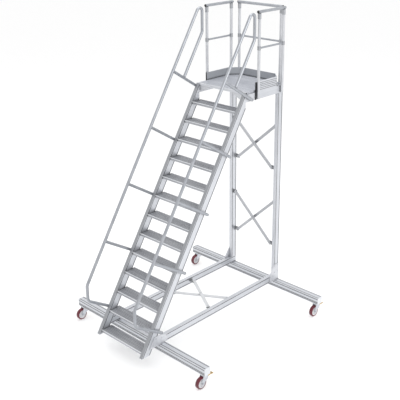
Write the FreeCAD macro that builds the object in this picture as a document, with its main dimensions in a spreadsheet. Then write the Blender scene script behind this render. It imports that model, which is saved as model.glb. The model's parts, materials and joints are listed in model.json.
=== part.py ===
import FreeCAD, Part
import math
import os

import Sketcher

os.makedirs("parts", exist_ok=True)
doc = FreeCAD.newDocument("rolling_platform_stairs")

# Driving dimensions in millimetres. Heights are above the floor. Lengths along Y are measured
# from the front edge of the first tread, which lies at nosing_y.
SIZES = {
    "nosing_y": -1334,
    "tread_count": 13,
    "tread_rise": 235,
    "tread_run": 149,
    "first_tread_top": 275,
    "tread_depth": 175,
    "nosing_height": 33,
    "tread_skin": 4,
    "tread_lip": 25,
    "rib_pitch": 24,
    "rib_groove": 7,
    "rib_depth": 2.5,
    "clear_width": 800,
    "side_gap": 0.3,
    "member_width": 50,
    "stringer_depth": 120,
    "member_depth": 100,
    "member_wall": 2.5,
    "slot_width": 10,
    "slot_depth": 5,
    "slot_inset": 13,
    "foot_drop": 60,
    "cap_thickness": 4,
    "traverse_length": 2520,
    "traverse_side": 100,
    "traverse_slot_inset": 18,
    "traverse_low_slot": 65,
    "front_traverse_y": 318,
    "rear_traverse_y": 2676,
    "castor_height": 195,
    "deck_thickness": 30,
    "deck_skin": 4,
    "deck_cell": 150,
    "nosing_profile_depth": 40,
    "side_beam_height": 100,
    "side_beam_wall": 4,
    "toe_board_height": 140,
    "toe_board_thickness": 10,
    "toe_board_start": 2135,
    "toe_board_grooves": 5,
    "toe_groove_width": 8,
    "toe_groove_depth": 4,
    "corner_leg": 130,
    "edge_strip_width": 25,
    "edge_strip_thickness": 6,
    "guard_tube": 40,
    "guard_wall": 2,
    "guard_height": 1035,
    "guard_post_front": 2171,
    "guard_post_drop": 120,
    "rear_guard_spread": 750,
    "rail_overhang": 25,
    "knee_tube": 27,
    "knee_height": 563,
    "collar_diameter": 48,
    "collar_height": 70,
    "knee_collar_height": 50,
    "rail_cap_depth": 14,
    "handrail_offset": 492,
    "handrail_lead": 142,
    "handrail_tail_offset": 250,
    "handrail_top_y": 1992,
    "handrail_end_y": 2076,
    "handrail_top_lift": 24,
    "handrail_bend": 80,
    "handrail_top_bend": 42,
    "support_first": 320,
    "support_last": 37.3,
    "support_pitch": 815,
    "support_count": 4,
    "support_overhang": 25,
    "brace_width": 40,
    "brace_depth": 20,
    "brace_wall": 3,
    "brace_end_margin": 60,
    "brace_hole_margin": 25,
    "brace_bracket_height": 60,
    "brace_bracket_width": 36,
    "brace_bracket_wall": 5,
    "spacer_diameter": 26,
    "upper_brace_middle": 2375,
    "upper_brace_rise": 710,
    "lower_brace_middle": 1195,
    "lower_brace_rise": 750,
    "tower_brace_spacing": 50,
    "base_brace_middle": 1512,
    "base_brace_rise": 480,
    "base_brace_spacing": 30,
    "plate_thickness": 6,
    "front_plate_reach": 410,
    "front_plate_height": 140,
    "front_plate_lap": 62,
    "rear_plate_reach": 206,
    "rear_plate_height": 265,
    "top_plate_reach": 150,
    "corner_gusset_width": 180,
    "corner_gusset_height": 75,
    "bolt_diameter": 6,
    "bolt_hole": 6.6,
    "bolt_head": 13,
    "bolt_head_height": 5,
    "castor_inset": 60,
    "castor_trail": 55,
    "castor_plate": 96,
    "castor_plate_thickness": 6,
    "castor_plate_bolts": 72,
    "race_diameter": 62,
    "race_height": 12,
    "race_gap": 1,
    "kingpin_diameter": 14,
    "kingpin_nut": 24,
    "crown_diameter": 66,
    "crown_thickness": 6,
    "wheel_diameter": 160,
    "wheel_width": 50,
    "rim_diameter": 124,
    "rim_wall": 6,
    "rim_step": 2,
    "wheel_web": 8,
    "hub_diameter": 44,
    "axle_diameter": 12,
    "running_gap": 0.05,
    "fork_gap": 57,
    "fork_wall": 4,
    "fork_eye": 18,
    "pedal_pivot_y": 36,
    "pedal_pivot_height": 138,
    "pedal_pin": 8,
    "pedal_width": 46,
    "pedal_reach": 118,
    "pedal_shoe_drop": 32,
}

sheet = doc.addObject("Spreadsheet::Sheet", "Sizes")
for row, (alias, amount) in enumerate(SIZES.items(), start=1):
    sheet.set(f"A{row}", alias)
    sheet.set(f"B{row}", str(amount))
    sheet.setAlias(f"B{row}", alias)
doc.recompute()

# Places worked out from the driving dimensions, as the text of an expression.
S = "Sizes."
RISE = S + "tread_rise"
RUN = S + "tread_run"
SLOPE = f"sqrt({RUN} ^ 2 + {RISE} ^ 2)"
COS = f"({RUN} / {SLOPE})"
SIN = f"({RISE} / {SLOPE})"
LEAN = f"-atan({RUN} / {RISE})"
HALF_CLEAR = f"({S}clear_width / 2)"
OUTER_X = f"({S}clear_width / 2 + {S}member_width)"
MEMBER_X = f"({S}clear_width / 2 + {S}member_width / 2)"
TUBE_X = f"({OUTER_X} + {S}guard_tube / 2 + {S}side_gap)"
STAIR_TOP_Y = f"({S}tread_count * {RUN})"
DECK_TOP = f"({S}first_tread_top + {S}tread_count * {RISE})"
BEAM_TOP = f"({DECK_TOP} - {S}deck_thickness)"
BEAM_BOTTOM = f"({BEAM_TOP} - {S}side_beam_height)"
BASE_TOP = f"({S}castor_height + {S}traverse_side)"
BASE_BEAM_TOP = f"({BASE_TOP} + {S}member_depth)"
POST_Y = S + "rear_traverse_y"
PLATFORM_REAR = f"({POST_Y} + {S}member_depth / 2)"
STRINGER_CUT = f"({S}stringer_depth / {SIN})"
GROOVES_IN = (S + "slot_inset", f"({S}stringer_depth - {S}slot_inset)")
TOE_X = f"({OUTER_X} - {S}toe_board_thickness)"
CASTOR_X = f"({S}traverse_length / 2 - {S}castor_inset)"
AXLE_HEIGHT = f"({S}wheel_diameter / 2)"
CROWN_TOP = f"({S}castor_height - {S}castor_plate_thickness - {S}race_height - {S}race_gap)"

X_AXIS = FreeCAD.Vector(1, 0, 0)
Y_AXIS = FreeCAD.Vector(0, 1, 0)
Z_AXIS = FreeCAD.Vector(0, 0, 1)
ALONG_Y = (X_AXIS, -90)
ALONG_X = (Y_AXIS, 90)
ALONG_MINUS_X = (Y_AXIS, -90)
UPSIDE_DOWN = (X_AXIS, 180)
FRONT_ALONG_X = (X_AXIS + Z_AXIS, 180)
SIDES = (("left", -1), ("right", 1))

nodes = {}


def amount_of(text):
    """The present value of an expression, in millimetres."""
    return float(sheet.evalExpression(text))


def place(thing, x="0", y="0", z="0", turn=None, lean=None):
    """Bind a thing's place, with a fixed turn or a turn about X by an expression."""
    if lean is not None:
        turn = (X_AXIS, math.degrees(-math.atan2(amount_of(RUN), amount_of(RISE))))
    if turn is not None:
        thing.Placement = FreeCAD.Placement(FreeCAD.Vector(), FreeCAD.Rotation(*turn))
    if lean is not None:
        thing.setExpression("Placement.Rotation.Angle", lean)
    for axis, text in zip("xyz", (x, y, z)):
        if text != "0":
            thing.setExpression(f"Placement.Base.{axis}", text)
    return thing


def slope_point(along, inwards):
    """A point on the stair's slope, given its way up along the line of the tread fronts and its
    depth square to that line, as a distance back from and a height above the first tread front."""
    return f"({along}) * {COS} + ({inwards}) * {SIN}", f"({along}) * {SIN} - ({inwards}) * {COS}"


SUPPORT_FOOT = S + "support_first"


def support_along(number):
    """How far up the slope a handrail support lies, spaced down from the stair's top. The
    handrail's own foot lies at SUPPORT_FOOT."""
    top = f"{S}tread_count * {SLOPE} - {S}support_last"
    return f"({top} - ({S}support_count - {number}) * {S}support_pitch)"


def row_y(text):
    """A distance behind the first tread's front edge, as a place along Y."""
    return f"{S}nosing_y + {text}"


def keep(name, thing):
    """Name a finished sub-part as a node."""
    thing.Label = name
    nodes[name] = thing
    return thing


def new_body(name):
    return doc.addObject("PartDesign::Body", name)


def new_sketch(body, plane, offset=None):
    """A sketch on one of the body's own origin planes, moved along its normal."""
    sketch = body.newObject("Sketcher::SketchObject", body.Name + "_sketch")
    support = next(f for f in body.Origin.OriginFeatures if f.Role == plane)
    sketch.AttachmentSupport = [(support, "")]
    sketch.MapMode = "FlatFace"
    if offset is not None:
        sketch.setExpression("AttachmentOffset.Base.z", offset)
    return sketch


def fix_point(sketch, geometry, end, x, y):
    """Hold one end of a sketch element at a place given by two expressions."""
    for kind, text in (("DistanceX", x), ("DistanceY", y)):
        rule = sketch.addConstraint(Sketcher.Constraint(kind, -1, 1, geometry, end, amount_of(text)))
        sketch.setExpression(f"Constraints[{rule}]", text)


def draw_outline(sketch, corners):
    """A closed outline of straight edges through corners given as pairs of expressions."""
    points = [FreeCAD.Vector(amount_of(x), amount_of(y), 0) for x, y in corners]
    first = sketch.GeometryCount
    count = len(points)
    sketch.addGeometry([Part.LineSegment(points[i], points[(i + 1) % count]) for i in range(count)])
    for i in range(count):
        sketch.addConstraint(Sketcher.Constraint("Coincident", first + i, 2, first + (i + 1) % count, 1))
    for i, (x, y) in enumerate(corners):
        for kind, level, text, before in (
            ("DistanceX", "Vertical", x, corners[i - 1][0]),
            ("DistanceY", "Horizontal", y, corners[i - 1][1]),
        ):
            if i > 0 and text == before:
                sketch.addConstraint(Sketcher.Constraint(level, first + i - 1))
            else:
                amount = amount_of(text)
                rule = sketch.addConstraint(Sketcher.Constraint(kind, -1, 1, first + i, 1, amount))
                sketch.setExpression(f"Constraints[{rule}]", text)


def draw_circle(sketch, x, y, diameter):
    centre = FreeCAD.Vector(amount_of(x), amount_of(y), 0)
    circle = sketch.addGeometry(Part.Circle(centre, Z_AXIS, amount_of(diameter) / 2))
    rule = sketch.addConstraint(Sketcher.Constraint("Diameter", circle, amount_of(diameter)))
    sketch.setExpression(f"Constraints[{rule}]", diameter)
    fix_point(sketch, circle, 3, x, y)


def pad(body, sketch, length, both_ways=False, backwards=False):
    feature = body.newObject("PartDesign::Pad", body.Name + "_pad")
    feature.Profile = sketch
    feature.SideType = "Symmetric" if both_ways else "One side"
    feature.Reversed = backwards
    feature.setExpression("Length", length)
    return feature


def pocket(body, sketch, length=None, both_ways=True, backwards=False):
    """Cut a sketch out of the body, and check that it really removes material."""
    doc.recompute()
    before = body.Shape.Volume
    feature = body.newObject("PartDesign::Pocket", body.Name + "_cut")
    feature.Profile = sketch
    feature.SideType = "Symmetric" if both_ways else "One side"
    feature.Reversed = backwards
    if length is None:
        feature.Type = "ThroughAll"
    else:
        feature.setExpression("Length", length)
    doc.recompute()
    if body.Shape.Volume > before - 1:
        raise RuntimeError(f"{feature.Name} cut nothing")
    return feature


def repeat(body, feature, axis_role, span, count, backwards=False):
    """Repeat a feature in a row along one of the body's origin axes."""
    axis = next(f for f in body.Origin.OriginFeatures if f.Role == axis_role)
    pattern = body.newObject("PartDesign::LinearPattern", body.Name + "_row")
    pattern.Originals = [feature]
    pattern.Direction = (axis, [""])
    pattern.Reversed = backwards
    pattern.setExpression("Length", span)
    pattern.setExpression("Occurrences", count)
    body.Tip = pattern
    return pattern


def group(name, things):
    """Several separate solids as one node."""
    compound = doc.addObject("Part::Compound", name + "_group")
    compound.Links = things
    return compound


def ring_tube(name, outer, wall, length, both_ways=False):
    """A round tube along its own Z."""
    body = new_body(name)
    sketch = new_sketch(body, "XY_Plane")
    draw_circle(sketch, "0", "0", outer)
    draw_circle(sketch, "0", "0", f"{outer} - 2 * {wall}")
    pad(body, sketch, length, both_ways)
    return body


def rod(name, diameter, length, both_ways=False):
    """A round bar along its own Z."""
    body = new_body(name)
    sketch = new_sketch(body, "XY_Plane")
    draw_circle(sketch, "0", "0", diameter)
    pad(body, sketch, length, both_ways)
    return body


def block(name, width, depth, height):
    """A plain box with its corner at its own origin."""
    box = doc.addObject("Part::Box", name)
    box.setExpression("Length", width)
    box.setExpression("Width", depth)
    box.setExpression("Height", height)
    return box


def profile_outline(half_x, half_y, slots, inset):
    """The outline of a grooved profile, drawn inwards by inset: with 0 it is the outside, and
    with the wall it is the hollow. slots gives each side's groove lines, in rising order."""
    x = f"({half_x} - {inset})"
    y = f"({half_y} - {inset})"
    half_slot = f"({S}slot_width / 2 + {inset})"
    floor_x = f"({half_x} - {inset} - {S}slot_depth)"
    floor_y = f"({half_y} - {inset} - {S}slot_depth)"
    corners = [(x, f"-{y}")]
    for line in slots.get("right", ()):
        low = f"{line} - {half_slot}"
        high = f"{line} + {half_slot}"
        corners += [(x, low), (floor_x, low), (floor_x, high), (x, high)]
    corners.append((x, y))
    for line in reversed(slots.get("top", ())):
        low = f"{line} - {half_slot}"
        high = f"{line} + {half_slot}"
        corners += [(high, y), (high, floor_y), (low, floor_y), (low, y)]
    corners.append((f"-{x}", y))
    for line in reversed(slots.get("left", ())):
        low = f"{line} - {half_slot}"
        high = f"{line} + {half_slot}"
        corners += [(f"-{x}", high), (f"-{floor_x}", high), (f"-{floor_x}", low), (f"-{x}", low)]
    corners.append((f"-{x}", f"-{y}"))
    return corners


def grooved_member(name, width, depth, slots, length):
    """A hollow grooved profile along its own Z, with its section centred on its own origin."""
    body = new_body(name)
    sketch = new_sketch(body, "XY_Plane")
    half_x = f"{width} / 2"
    half_y = f"{depth} / 2"
    draw_outline(sketch, profile_outline(half_x, half_y, slots, "0"))
    draw_outline(sketch, profile_outline(half_x, half_y, slots, S + "member_wall"))
    pad(body, sketch, length)
    return body


def wide_face_slots(depth):
    """Groove lines near both edges of the two wide faces."""
    line = f"({depth} / 2 - {S}slot_inset)"
    return {"right": (f"-{line}", line), "left": (f"-{line}", line)}


# ---------------------------------------------------------------- stair

def stringer(side, sign):
    """A grooved profile along the slope, with its front face on the line of the tread fronts.
    Its foot is cut level and its top upright, against the platform."""
    body = new_body(f"stringer_{side}")
    depth = S + "stringer_depth"
    spare = f"({depth} * {SLOPE} / {RUN})"
    foot = f"({S}foot_drop / {SIN})"
    top = f"({S}tread_count * {SLOPE})"
    sketch = new_sketch(body, "XY_Plane", f"-{foot} - {spare}")
    half_x = f"{S}member_width / 2"
    slots = wide_face_slots(depth)
    outside = profile_outline(half_x, f"{depth} / 2", slots, "0")
    inside = profile_outline(half_x, f"{depth} / 2", slots, S + "member_wall")
    for outline in (outside, inside):
        draw_outline(sketch, [(x, f"{y} + {depth} / 2") for x, y in outline])
    pad(body, sketch, f"{top} + {foot} + 2 * {spare}")

    foot_cut = new_sketch(body, "YZ_Plane")
    below = f"-{foot} - 2 * {spare}"
    past = f"{depth} * 2"
    draw_outline(foot_cut, [
        (f"-{depth}", below),
        (past, below),
        (past, f"-{foot} + {past} * {RUN} / {RISE}"),
        (f"-{depth}", f"-{foot} - {depth} * {RUN} / {RISE}"),
    ])
    pocket(body, foot_cut)

    top_cut = new_sketch(body, "YZ_Plane")
    above = f"{top} + 3 * {spare}"
    draw_outline(top_cut, [
        (f"-{depth}", f"{top} + {depth} * {RISE} / {RUN}"),
        (past, f"{top} - {past} * {RISE} / {RUN}"),
        (past, above),
        (f"-{depth}", above),
    ])
    pocket(body, top_cut)
    place(body, f"{sign} * {MEMBER_X}", S + "nosing_y", S + "first_tread_top", lean=LEAN)
    return keep(f"stringer_{side}", body)


def tread(number):
    """A ribbed step of extruded section: a skin with a deep front nosing, a rear lip and two
    webs. It fits between the stringers with a small gap at each end."""
    name = f"tread_{number:02d}"
    body = new_body(name)
    sketch = new_sketch(body, "YZ_Plane")
    deep = S + "tread_depth"
    skin = S + "tread_skin"
    low = f"-{S}nosing_height"
    lip = f"-{S}tread_lip"
    draw_outline(sketch, [
        ("0", low),
        (skin, low),
        (skin, f"-{skin}"),
        (f"{deep} / 3", f"-{skin}"),
        (f"{deep} / 3", lip),
        (f"{deep} / 3 + {skin} / 2", lip),
        (f"{deep} / 3 + {skin} / 2", f"-{skin}"),
        (f"{deep} * 2 / 3", f"-{skin}"),
        (f"{deep} * 2 / 3", lip),
        (f"{deep} * 2 / 3 + {skin} / 2", lip),
        (f"{deep} * 2 / 3 + {skin} / 2", f"-{skin}"),
        (f"{deep} - {skin}", f"-{skin}"),
        (f"{deep} - {skin}", lip),
        (deep, lip),
        (deep, "0"),
        ("0", "0"),
    ])
    pad(body, sketch, f"{S}clear_width - 2 * {S}side_gap", both_ways=True)

    groove = new_sketch(body, "YZ_Plane")
    draw_outline(groove, [
        (S + "rib_pitch", f"-{S}rib_depth"),
        (f"{S}rib_pitch + {S}rib_groove", f"-{S}rib_depth"),
        (f"{S}rib_pitch + {S}rib_groove", S + "rib_depth"),
        (S + "rib_pitch", S + "rib_depth"),
    ])
    first = pocket(body, groove)
    grooves = f"floor(({deep} - {S}rib_pitch) / {S}rib_pitch)"
    repeat(body, first, "Y_Axis", f"({grooves} - 1) * {S}rib_pitch", grooves)
    place(body, "0", f"{S}nosing_y + {number - 1} * {RUN}", f"{S}first_tread_top + {number - 1} * {RISE}")
    return keep(name, body)


def stringer_end_caps():
    """Plates that close the level foot of each stringer."""
    caps = []
    for side, sign in SIDES:
        cap = block(f"stringer_cap_{side}", S + "member_width", STRINGER_CUT, S + "cap_thickness")
        front = f"{S}nosing_y - {S}foot_drop * {RUN} / {RISE}"
        height = f"{S}first_tread_top - {S}foot_drop - {S}cap_thickness"
        caps.append(place(cap, f"{sign} * {MEMBER_X} - {S}member_width / 2", front, height))
    return caps


# ---------------------------------------------------------------- base and tower

def traverse(name, y):
    """A long cross profile that carries two castors, turned so that the side of its section with
    three grooves faces the front and its right side lies on top."""
    side = S + "traverse_side"
    line = f"({side} / 2 - {S}traverse_slot_inset)"
    low_line = f"({side} / 2 - {S}traverse_low_slot)"
    edges = (f"-{line}", line)
    slots = {"right": edges, "left": edges, "top": (f"-{line}", low_line, line)}
    body = grooved_member(name, side, side, slots, S + "traverse_length")
    height = f"{S}castor_height + {side} / 2"
    place(body, f"-{S}traverse_length / 2", row_y(y), height, turn=FRONT_ALONG_X)
    return keep(name, body)


def traverse_end_caps():
    """Plates that close both ends of each traverse."""
    caps = []
    square = S + "traverse_side"
    for end, y in (("front", S + "front_traverse_y"), ("rear", S + "rear_traverse_y")):
        for side, sign in SIDES:
            cap = block(f"traverse_cap_{end}_{side}", S + "cap_thickness", square, square)
            edge = f"{sign} * ({S}traverse_length / 2 + {S}cap_thickness / 2) - {S}cap_thickness / 2"
            caps.append(place(cap, edge, row_y(f"{y} - {square} / 2"), S + "castor_height"))
    return caps


def base_beam(side, sign):
    """A profile that lies on both traverses. Its front end is cut along the stringer's back."""
    name = f"base_beam_{side}"
    width = S + "member_width"
    depth = S + "member_depth"
    start = f"(({BASE_TOP} - {S}first_tread_top) * {RUN} / {RISE} + {STRINGER_CUT})"
    slots = wide_face_slots(depth)
    body = grooved_member(name, width, depth, slots, f"{PLATFORM_REAR} - {start}")
    end_cut = new_sketch(body, "YZ_Plane")
    # The body's own Z runs backwards along the beam and its own Y points down.
    reach = f"{depth} * {RUN} / {RISE}"
    draw_outline(end_cut, [
        (f"{depth} / 2 + {depth}", f"-{reach}"),
        (f"-{depth} / 2 - {depth}", f"2 * {reach}"),
        (f"-{depth} / 2 - {depth}", f"-2 * {reach}"),
    ])
    pocket(body, end_cut)
    place(body, f"{sign} * {MEMBER_X}", row_y(start), f"{BASE_TOP} + {depth} / 2", turn=ALONG_Y)
    return keep(name, body)


def rear_post(side, sign):
    name = f"rear_post_{side}"
    depth = S + "member_depth"
    length = f"{BEAM_BOTTOM} - {BASE_BEAM_TOP}"
    body = grooved_member(name, S + "member_width", depth, wide_face_slots(depth), length)
    place(body, f"{sign} * {MEMBER_X}", row_y(POST_Y), BASE_BEAM_TOP)
    return keep(name, body)


def brace_diagonal(rise):
    """From corner to corner of the opening that a pair of braces crosses."""
    return f"sqrt({S}clear_width ^ 2 + {rise} ^ 2)"


def brace_bolt_place(rise):
    """How far a brace's end bolt lies in from the member, and down from the opening's corner."""
    share = f"({S}brace_end_margin + {S}brace_hole_margin) / {brace_diagonal(rise)}"
    return f"({S}clear_width * {share})", f"({rise} * {share})"


def brace_bar(name, rise, lean_sign, spacing):
    """A channel section with its back to -Y, leaning across the frame, with three holes."""
    diagonal = brace_diagonal(rise)
    body = new_body(name)
    sketch = new_sketch(body, "XY_Plane")
    half = f"{S}brace_width / 2"
    front = f"-{S}brace_depth / 2"
    back = f"{S}brace_depth / 2"
    wall = S + "brace_wall"
    draw_outline(sketch, [
        (f"-{half}", front),
        (half, front),
        (half, back),
        (f"{half} - {wall}", back),
        (f"{half} - {wall}", f"{front} + {wall}"),
        (f"-{half} + {wall}", f"{front} + {wall}"),
        (f"-{half} + {wall}", back),
        (f"-{half}", back),
    ])
    length = f"{diagonal} - 2 * {S}brace_end_margin"
    pad(body, sketch, length, both_ways=True)
    holes = new_sketch(body, "XZ_Plane")
    reach = f"({diagonal} / 2 - {S}brace_end_margin - {S}brace_hole_margin)"
    for height in ("0", reach, f"-{reach}"):
        draw_circle(holes, "0", height, S + "bolt_hole")
    pocket(body, holes)
    angle = math.degrees(math.atan2(amount_of(S + "clear_width"), amount_of(rise)))
    body.Placement = FreeCAD.Placement(FreeCAD.Vector(), FreeCAD.Rotation(Y_AXIS, lean_sign * angle))
    body.setExpression("Placement.Rotation.Angle", f"{lean_sign} * atan({S}clear_width / {rise})")
    body.setExpression("Placement.Base.y", f"{lean_sign} * {spacing} / 2")
    return body


def brace_bracket(name, rise, side_sign, up_sign, spacing, layer_sign):
    """An angle bracket on the member's inner face, with a tab behind the end of a brace."""
    bolt_in, bolt_down = brace_bolt_place(rise)
    body = new_body(name)
    sketch = new_sketch(body, "XY_Plane")
    wall = S + "brace_bracket_wall"
    half = f"{S}brace_bracket_width / 2"
    tab = f"{S}brace_depth / 2"
    reach = f"({bolt_in} + {S}brace_hole_margin / 2)"
    draw_outline(sketch, [
        ("0", f"-{half}"),
        ("0", half),
        (f"-{wall}", half),
        (f"-{wall}", f"{tab} + {wall}"),
        (f"-{reach}", f"{tab} + {wall}"),
        (f"-{reach}", tab),
        (f"-{wall}", tab),
        (f"-{wall}", f"-{half}"),
    ])
    pad(body, sketch, S + "brace_bracket_height", both_ways=True)
    hole = new_sketch(body, "XZ_Plane")
    draw_circle(hole, f"-{bolt_in}", "0", S + "bolt_hole")
    pocket(body, hole)
    turn = (Y_AXIS, 0) if side_sign > 0 else (Y_AXIS, 180)
    y = f"{layer_sign} * {spacing} / 2"
    z = f"{up_sign} * ({rise} / 2 - {bolt_down})"
    place(body, f"{side_sign} * {HALF_CLEAR}", y, z, turn=turn)
    return body


def bolt(name, length):
    """A hexagon bolt: its head stands on its own XY plane and its shank hangs below."""
    head = doc.addObject("Part::Prism", name + "_head")
    head.Polygon = 6
    head.setExpression("Circumradius", S + "bolt_head / 2")
    head.setExpression("Height", S + "bolt_head_height")
    shank = doc.addObject("Part::Cylinder", name + "_shank")
    shank.setExpression("Radius", S + "bolt_diameter / 2")
    shank.setExpression("Height", length)
    shank.setExpression("Placement.Base.z", f"-({length})")
    joined = doc.addObject("Part::Fuse", name)
    joined.Base = head
    joined.Tool = shank
    return joined


HEAD_TO_FRONT = (X_AXIS, 90)
BRACE_SETS = (
    ("upper", S + "upper_brace_rise", S + "tower_brace_spacing"),
    ("lower", S + "lower_brace_rise", S + "tower_brace_spacing"),
    ("base", S + "base_brace_rise", S + "base_brace_spacing"),
)


def place_brace_set(thing, which):
    """The tower sets stand between the posts. The base set lies between the beams, with its own
    front side up."""
    if which == "base":
        height = f"{BASE_TOP} + {S}member_depth / 2"
        return place(thing, "0", row_y(S + "base_brace_middle"), height, turn=ALONG_Y)
    return place(thing, "0", row_y(POST_Y), f"{S}{which}_brace_middle")


def cross_braces():
    """Three crossed pairs of braces, with their brackets, spacers and bolts."""
    brackets = []
    bolts = []
    for which, rise, spacing in BRACE_SETS:
        bars = [
            brace_bar(f"{which}_falling_bar", rise, -1, spacing),
            brace_bar(f"{which}_rising_bar", rise, 1, spacing),
        ]
        keep(f"{which}_cross_brace", place_brace_set(group(f"{which}_cross_brace", bars), which))
        bolt_in, bolt_down = brace_bolt_place(rise)
        set_brackets = []
        set_bolts = []
        grip = f"{S}brace_depth + {S}brace_bracket_wall + {S}bolt_head_height / 2"
        # A falling bar starts at the upper left, a rising one at the upper right.
        for layer, side_sign, up_sign in ((-1, -1, 1), (-1, 1, -1), (1, 1, 1), (1, -1, -1)):
            tag = f"{which}_{len(set_brackets)}"
            bracket = brace_bracket(f"bracket_{tag}", rise, side_sign, up_sign, spacing, layer)
            set_brackets.append(bracket)
            end_bolt = bolt(f"brace_bolt_{tag}", grip)
            x = f"{side_sign} * ({HALF_CLEAR} - {bolt_in})"
            y = f"{layer} * {spacing} / 2 - {S}brace_depth / 2"
            z = f"{up_sign} * ({rise} / 2 - {bolt_down})"
            set_bolts.append(place(end_bolt, x, y, z, turn=HEAD_TO_FRONT))
        spacer = ring_tube(
            f"spacer_{which}", S + "spacer_diameter",
            f"({S}spacer_diameter - {S}bolt_hole) / 2", f"{spacing} - {S}brace_depth",
            both_ways=True)
        set_brackets.append(place(spacer, turn=ALONG_Y))
        middle_bolt = bolt(f"brace_bolt_{which}_middle", f"{spacing} + {S}brace_depth")
        front = f"-{spacing} / 2 - {S}brace_depth / 2"
        set_bolts.append(place(middle_bolt, "0", front, "0", turn=HEAD_TO_FRONT))
        brackets.append(place_brace_set(group(f"{which}_brackets", set_brackets), which))
        bolts.append(place_brace_set(group(f"{which}_brace_bolts", set_bolts), which))
    keep("brace_brackets", group("brace_brackets", brackets))
    return bolts


# ---------------------------------------------------------------- joint plates

def back_of_stringer(height):
    """How far the stringer's back lies behind the first tread's front edge at a height."""
    return f"(({height} - {S}first_tread_top) * {RUN} / {RISE} + {STRINGER_CUT})"


def side_plate(name, sign, corners, holes, inner_face=OUTER_X):
    """A flat plate against an upright face of the frame, drawn in Y and Z, with bolt holes."""
    body = new_body(name)
    sketch = new_sketch(body, "YZ_Plane")
    draw_outline(sketch, corners)
    for y, z in holes:
        draw_circle(sketch, y, z, S + "bolt_hole")
    pad(body, sketch, S + "plate_thickness", both_ways=True)
    return place(body, f"{sign} * ({inner_face} + {S}plate_thickness / 2)", S + "nosing_y")


def plate_bolts(name, sign, holes):
    """Bolts that hold a side plate and end on the groove floors of the profile behind it."""
    placed = []
    for number, (y, z) in enumerate(holes):
        plate_bolt = bolt(f"{name}_{number}", f"{S}plate_thickness + {S}slot_depth")
        turn = ALONG_X if sign > 0 else ALONG_MINUS_X
        head_x = f"{sign} * ({OUTER_X} + {S}plate_thickness)"
        placed.append(place(plate_bolt, head_x, row_y(y), z, turn=turn))
    return placed


def joint_plates():
    plates = []
    bolts = []
    low_slot = f"{BASE_TOP} + {S}slot_inset"
    high_slot = f"{BASE_BEAM_TOP} - {S}slot_inset"
    plate_top = f"{BASE_TOP} + {S}front_plate_height"
    lap = S + "front_plate_lap"
    reach = S + "front_plate_reach"
    front_corners = [
        (f"{back_of_stringer(BASE_TOP)} - {lap}", BASE_TOP),
        (reach, BASE_TOP),
        (reach, BASE_BEAM_TOP),
        (f"{back_of_stringer(plate_top)} + {S}plate_thickness", plate_top),
        (f"{back_of_stringer(plate_top)} - {lap}", plate_top),
    ]
    stringer_slot = f"{S}slot_inset / {SIN}"
    low_hole = f"({BASE_TOP} + {S}front_plate_height / 5)"
    high_hole = f"({BASE_TOP} + {S}front_plate_height * 4 / 5)"
    front_holes = [
        (f"{reach} - {S}slot_inset", low_slot),
        (f"{reach} - {S}slot_inset", high_slot),
        (f"{reach} - {S}front_plate_height * 3 / 4", low_slot),
        (f"{reach} - {S}front_plate_height * 3 / 4", high_slot),
        (f"{back_of_stringer(low_hole)} - {stringer_slot}", low_hole),
        (f"{back_of_stringer(high_hole)} - {stringer_slot}", high_hole),
    ]
    post_front = f"{POST_Y} - {S}member_depth / 2"
    rear_top = f"{BASE_TOP} + {S}rear_plate_height"
    rear_front = f"{PLATFORM_REAR} - {S}rear_plate_reach"
    rear_corners = [
        (rear_front, BASE_TOP),
        (PLATFORM_REAR, BASE_TOP),
        (PLATFORM_REAR, rear_top),
        (f"{post_front} + {S}slot_inset / 2", rear_top),
        (rear_front, f"{BASE_BEAM_TOP} + {S}slot_inset"),
    ]
    front_post_slot = f"{post_front} + {S}slot_inset"
    back_post_slot = f"{PLATFORM_REAR} - {S}slot_inset"
    upper_row = f"{rear_top} - {S}slot_inset * 2"
    middle_row = f"{rear_top} - {S}rear_plate_height / 2"
    rear_holes = [
        (f"{rear_front} + {S}slot_inset", low_slot),
        (f"{rear_front} + {S}slot_inset", high_slot),
        (f"{rear_front} + {S}slot_inset * 6", low_slot),
        (f"{rear_front} + {S}slot_inset * 6", high_slot),
        (front_post_slot, middle_row),
        (front_post_slot, upper_row),
        (back_post_slot, middle_row),
        (back_post_slot, upper_row),
    ]
    top_low = f"({BEAM_BOTTOM} + {S}slot_inset)"
    top_high = f"({BEAM_TOP} - {S}slot_inset)"
    lean_in = f"{S}nosing_height / 2"
    top_corners = [
        (f"({top_low} - {S}first_tread_top) * {RUN} / {RISE} + {lean_in}", top_low),
        (f"{STAIR_TOP_Y} + {S}top_plate_reach", top_low),
        (f"{STAIR_TOP_Y} + {S}top_plate_reach", top_high),
        (f"({top_high} - {S}first_tread_top) * {RUN} / {RISE} + {lean_in}", top_high),
    ]
    for side, sign in SIDES:
        plates.append(side_plate(f"front_plate_{side}", sign, front_corners, front_holes))
        plates.append(side_plate(f"rear_plate_{side}", sign, rear_corners, rear_holes))
        inner_face = f"{HALF_CLEAR} - {S}plate_thickness"
        plates.append(side_plate(f"top_plate_{side}", sign, top_corners, [], inner_face))
        plates.append(corner_gusset(side, sign))
        bolts += plate_bolts(f"front_plate_bolt_{side}", sign, front_holes)
        bolts += plate_bolts(f"rear_plate_bolt_{side}", sign, rear_holes)
    keep("joint_plates", group("joint_plates", plates))
    return bolts


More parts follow.
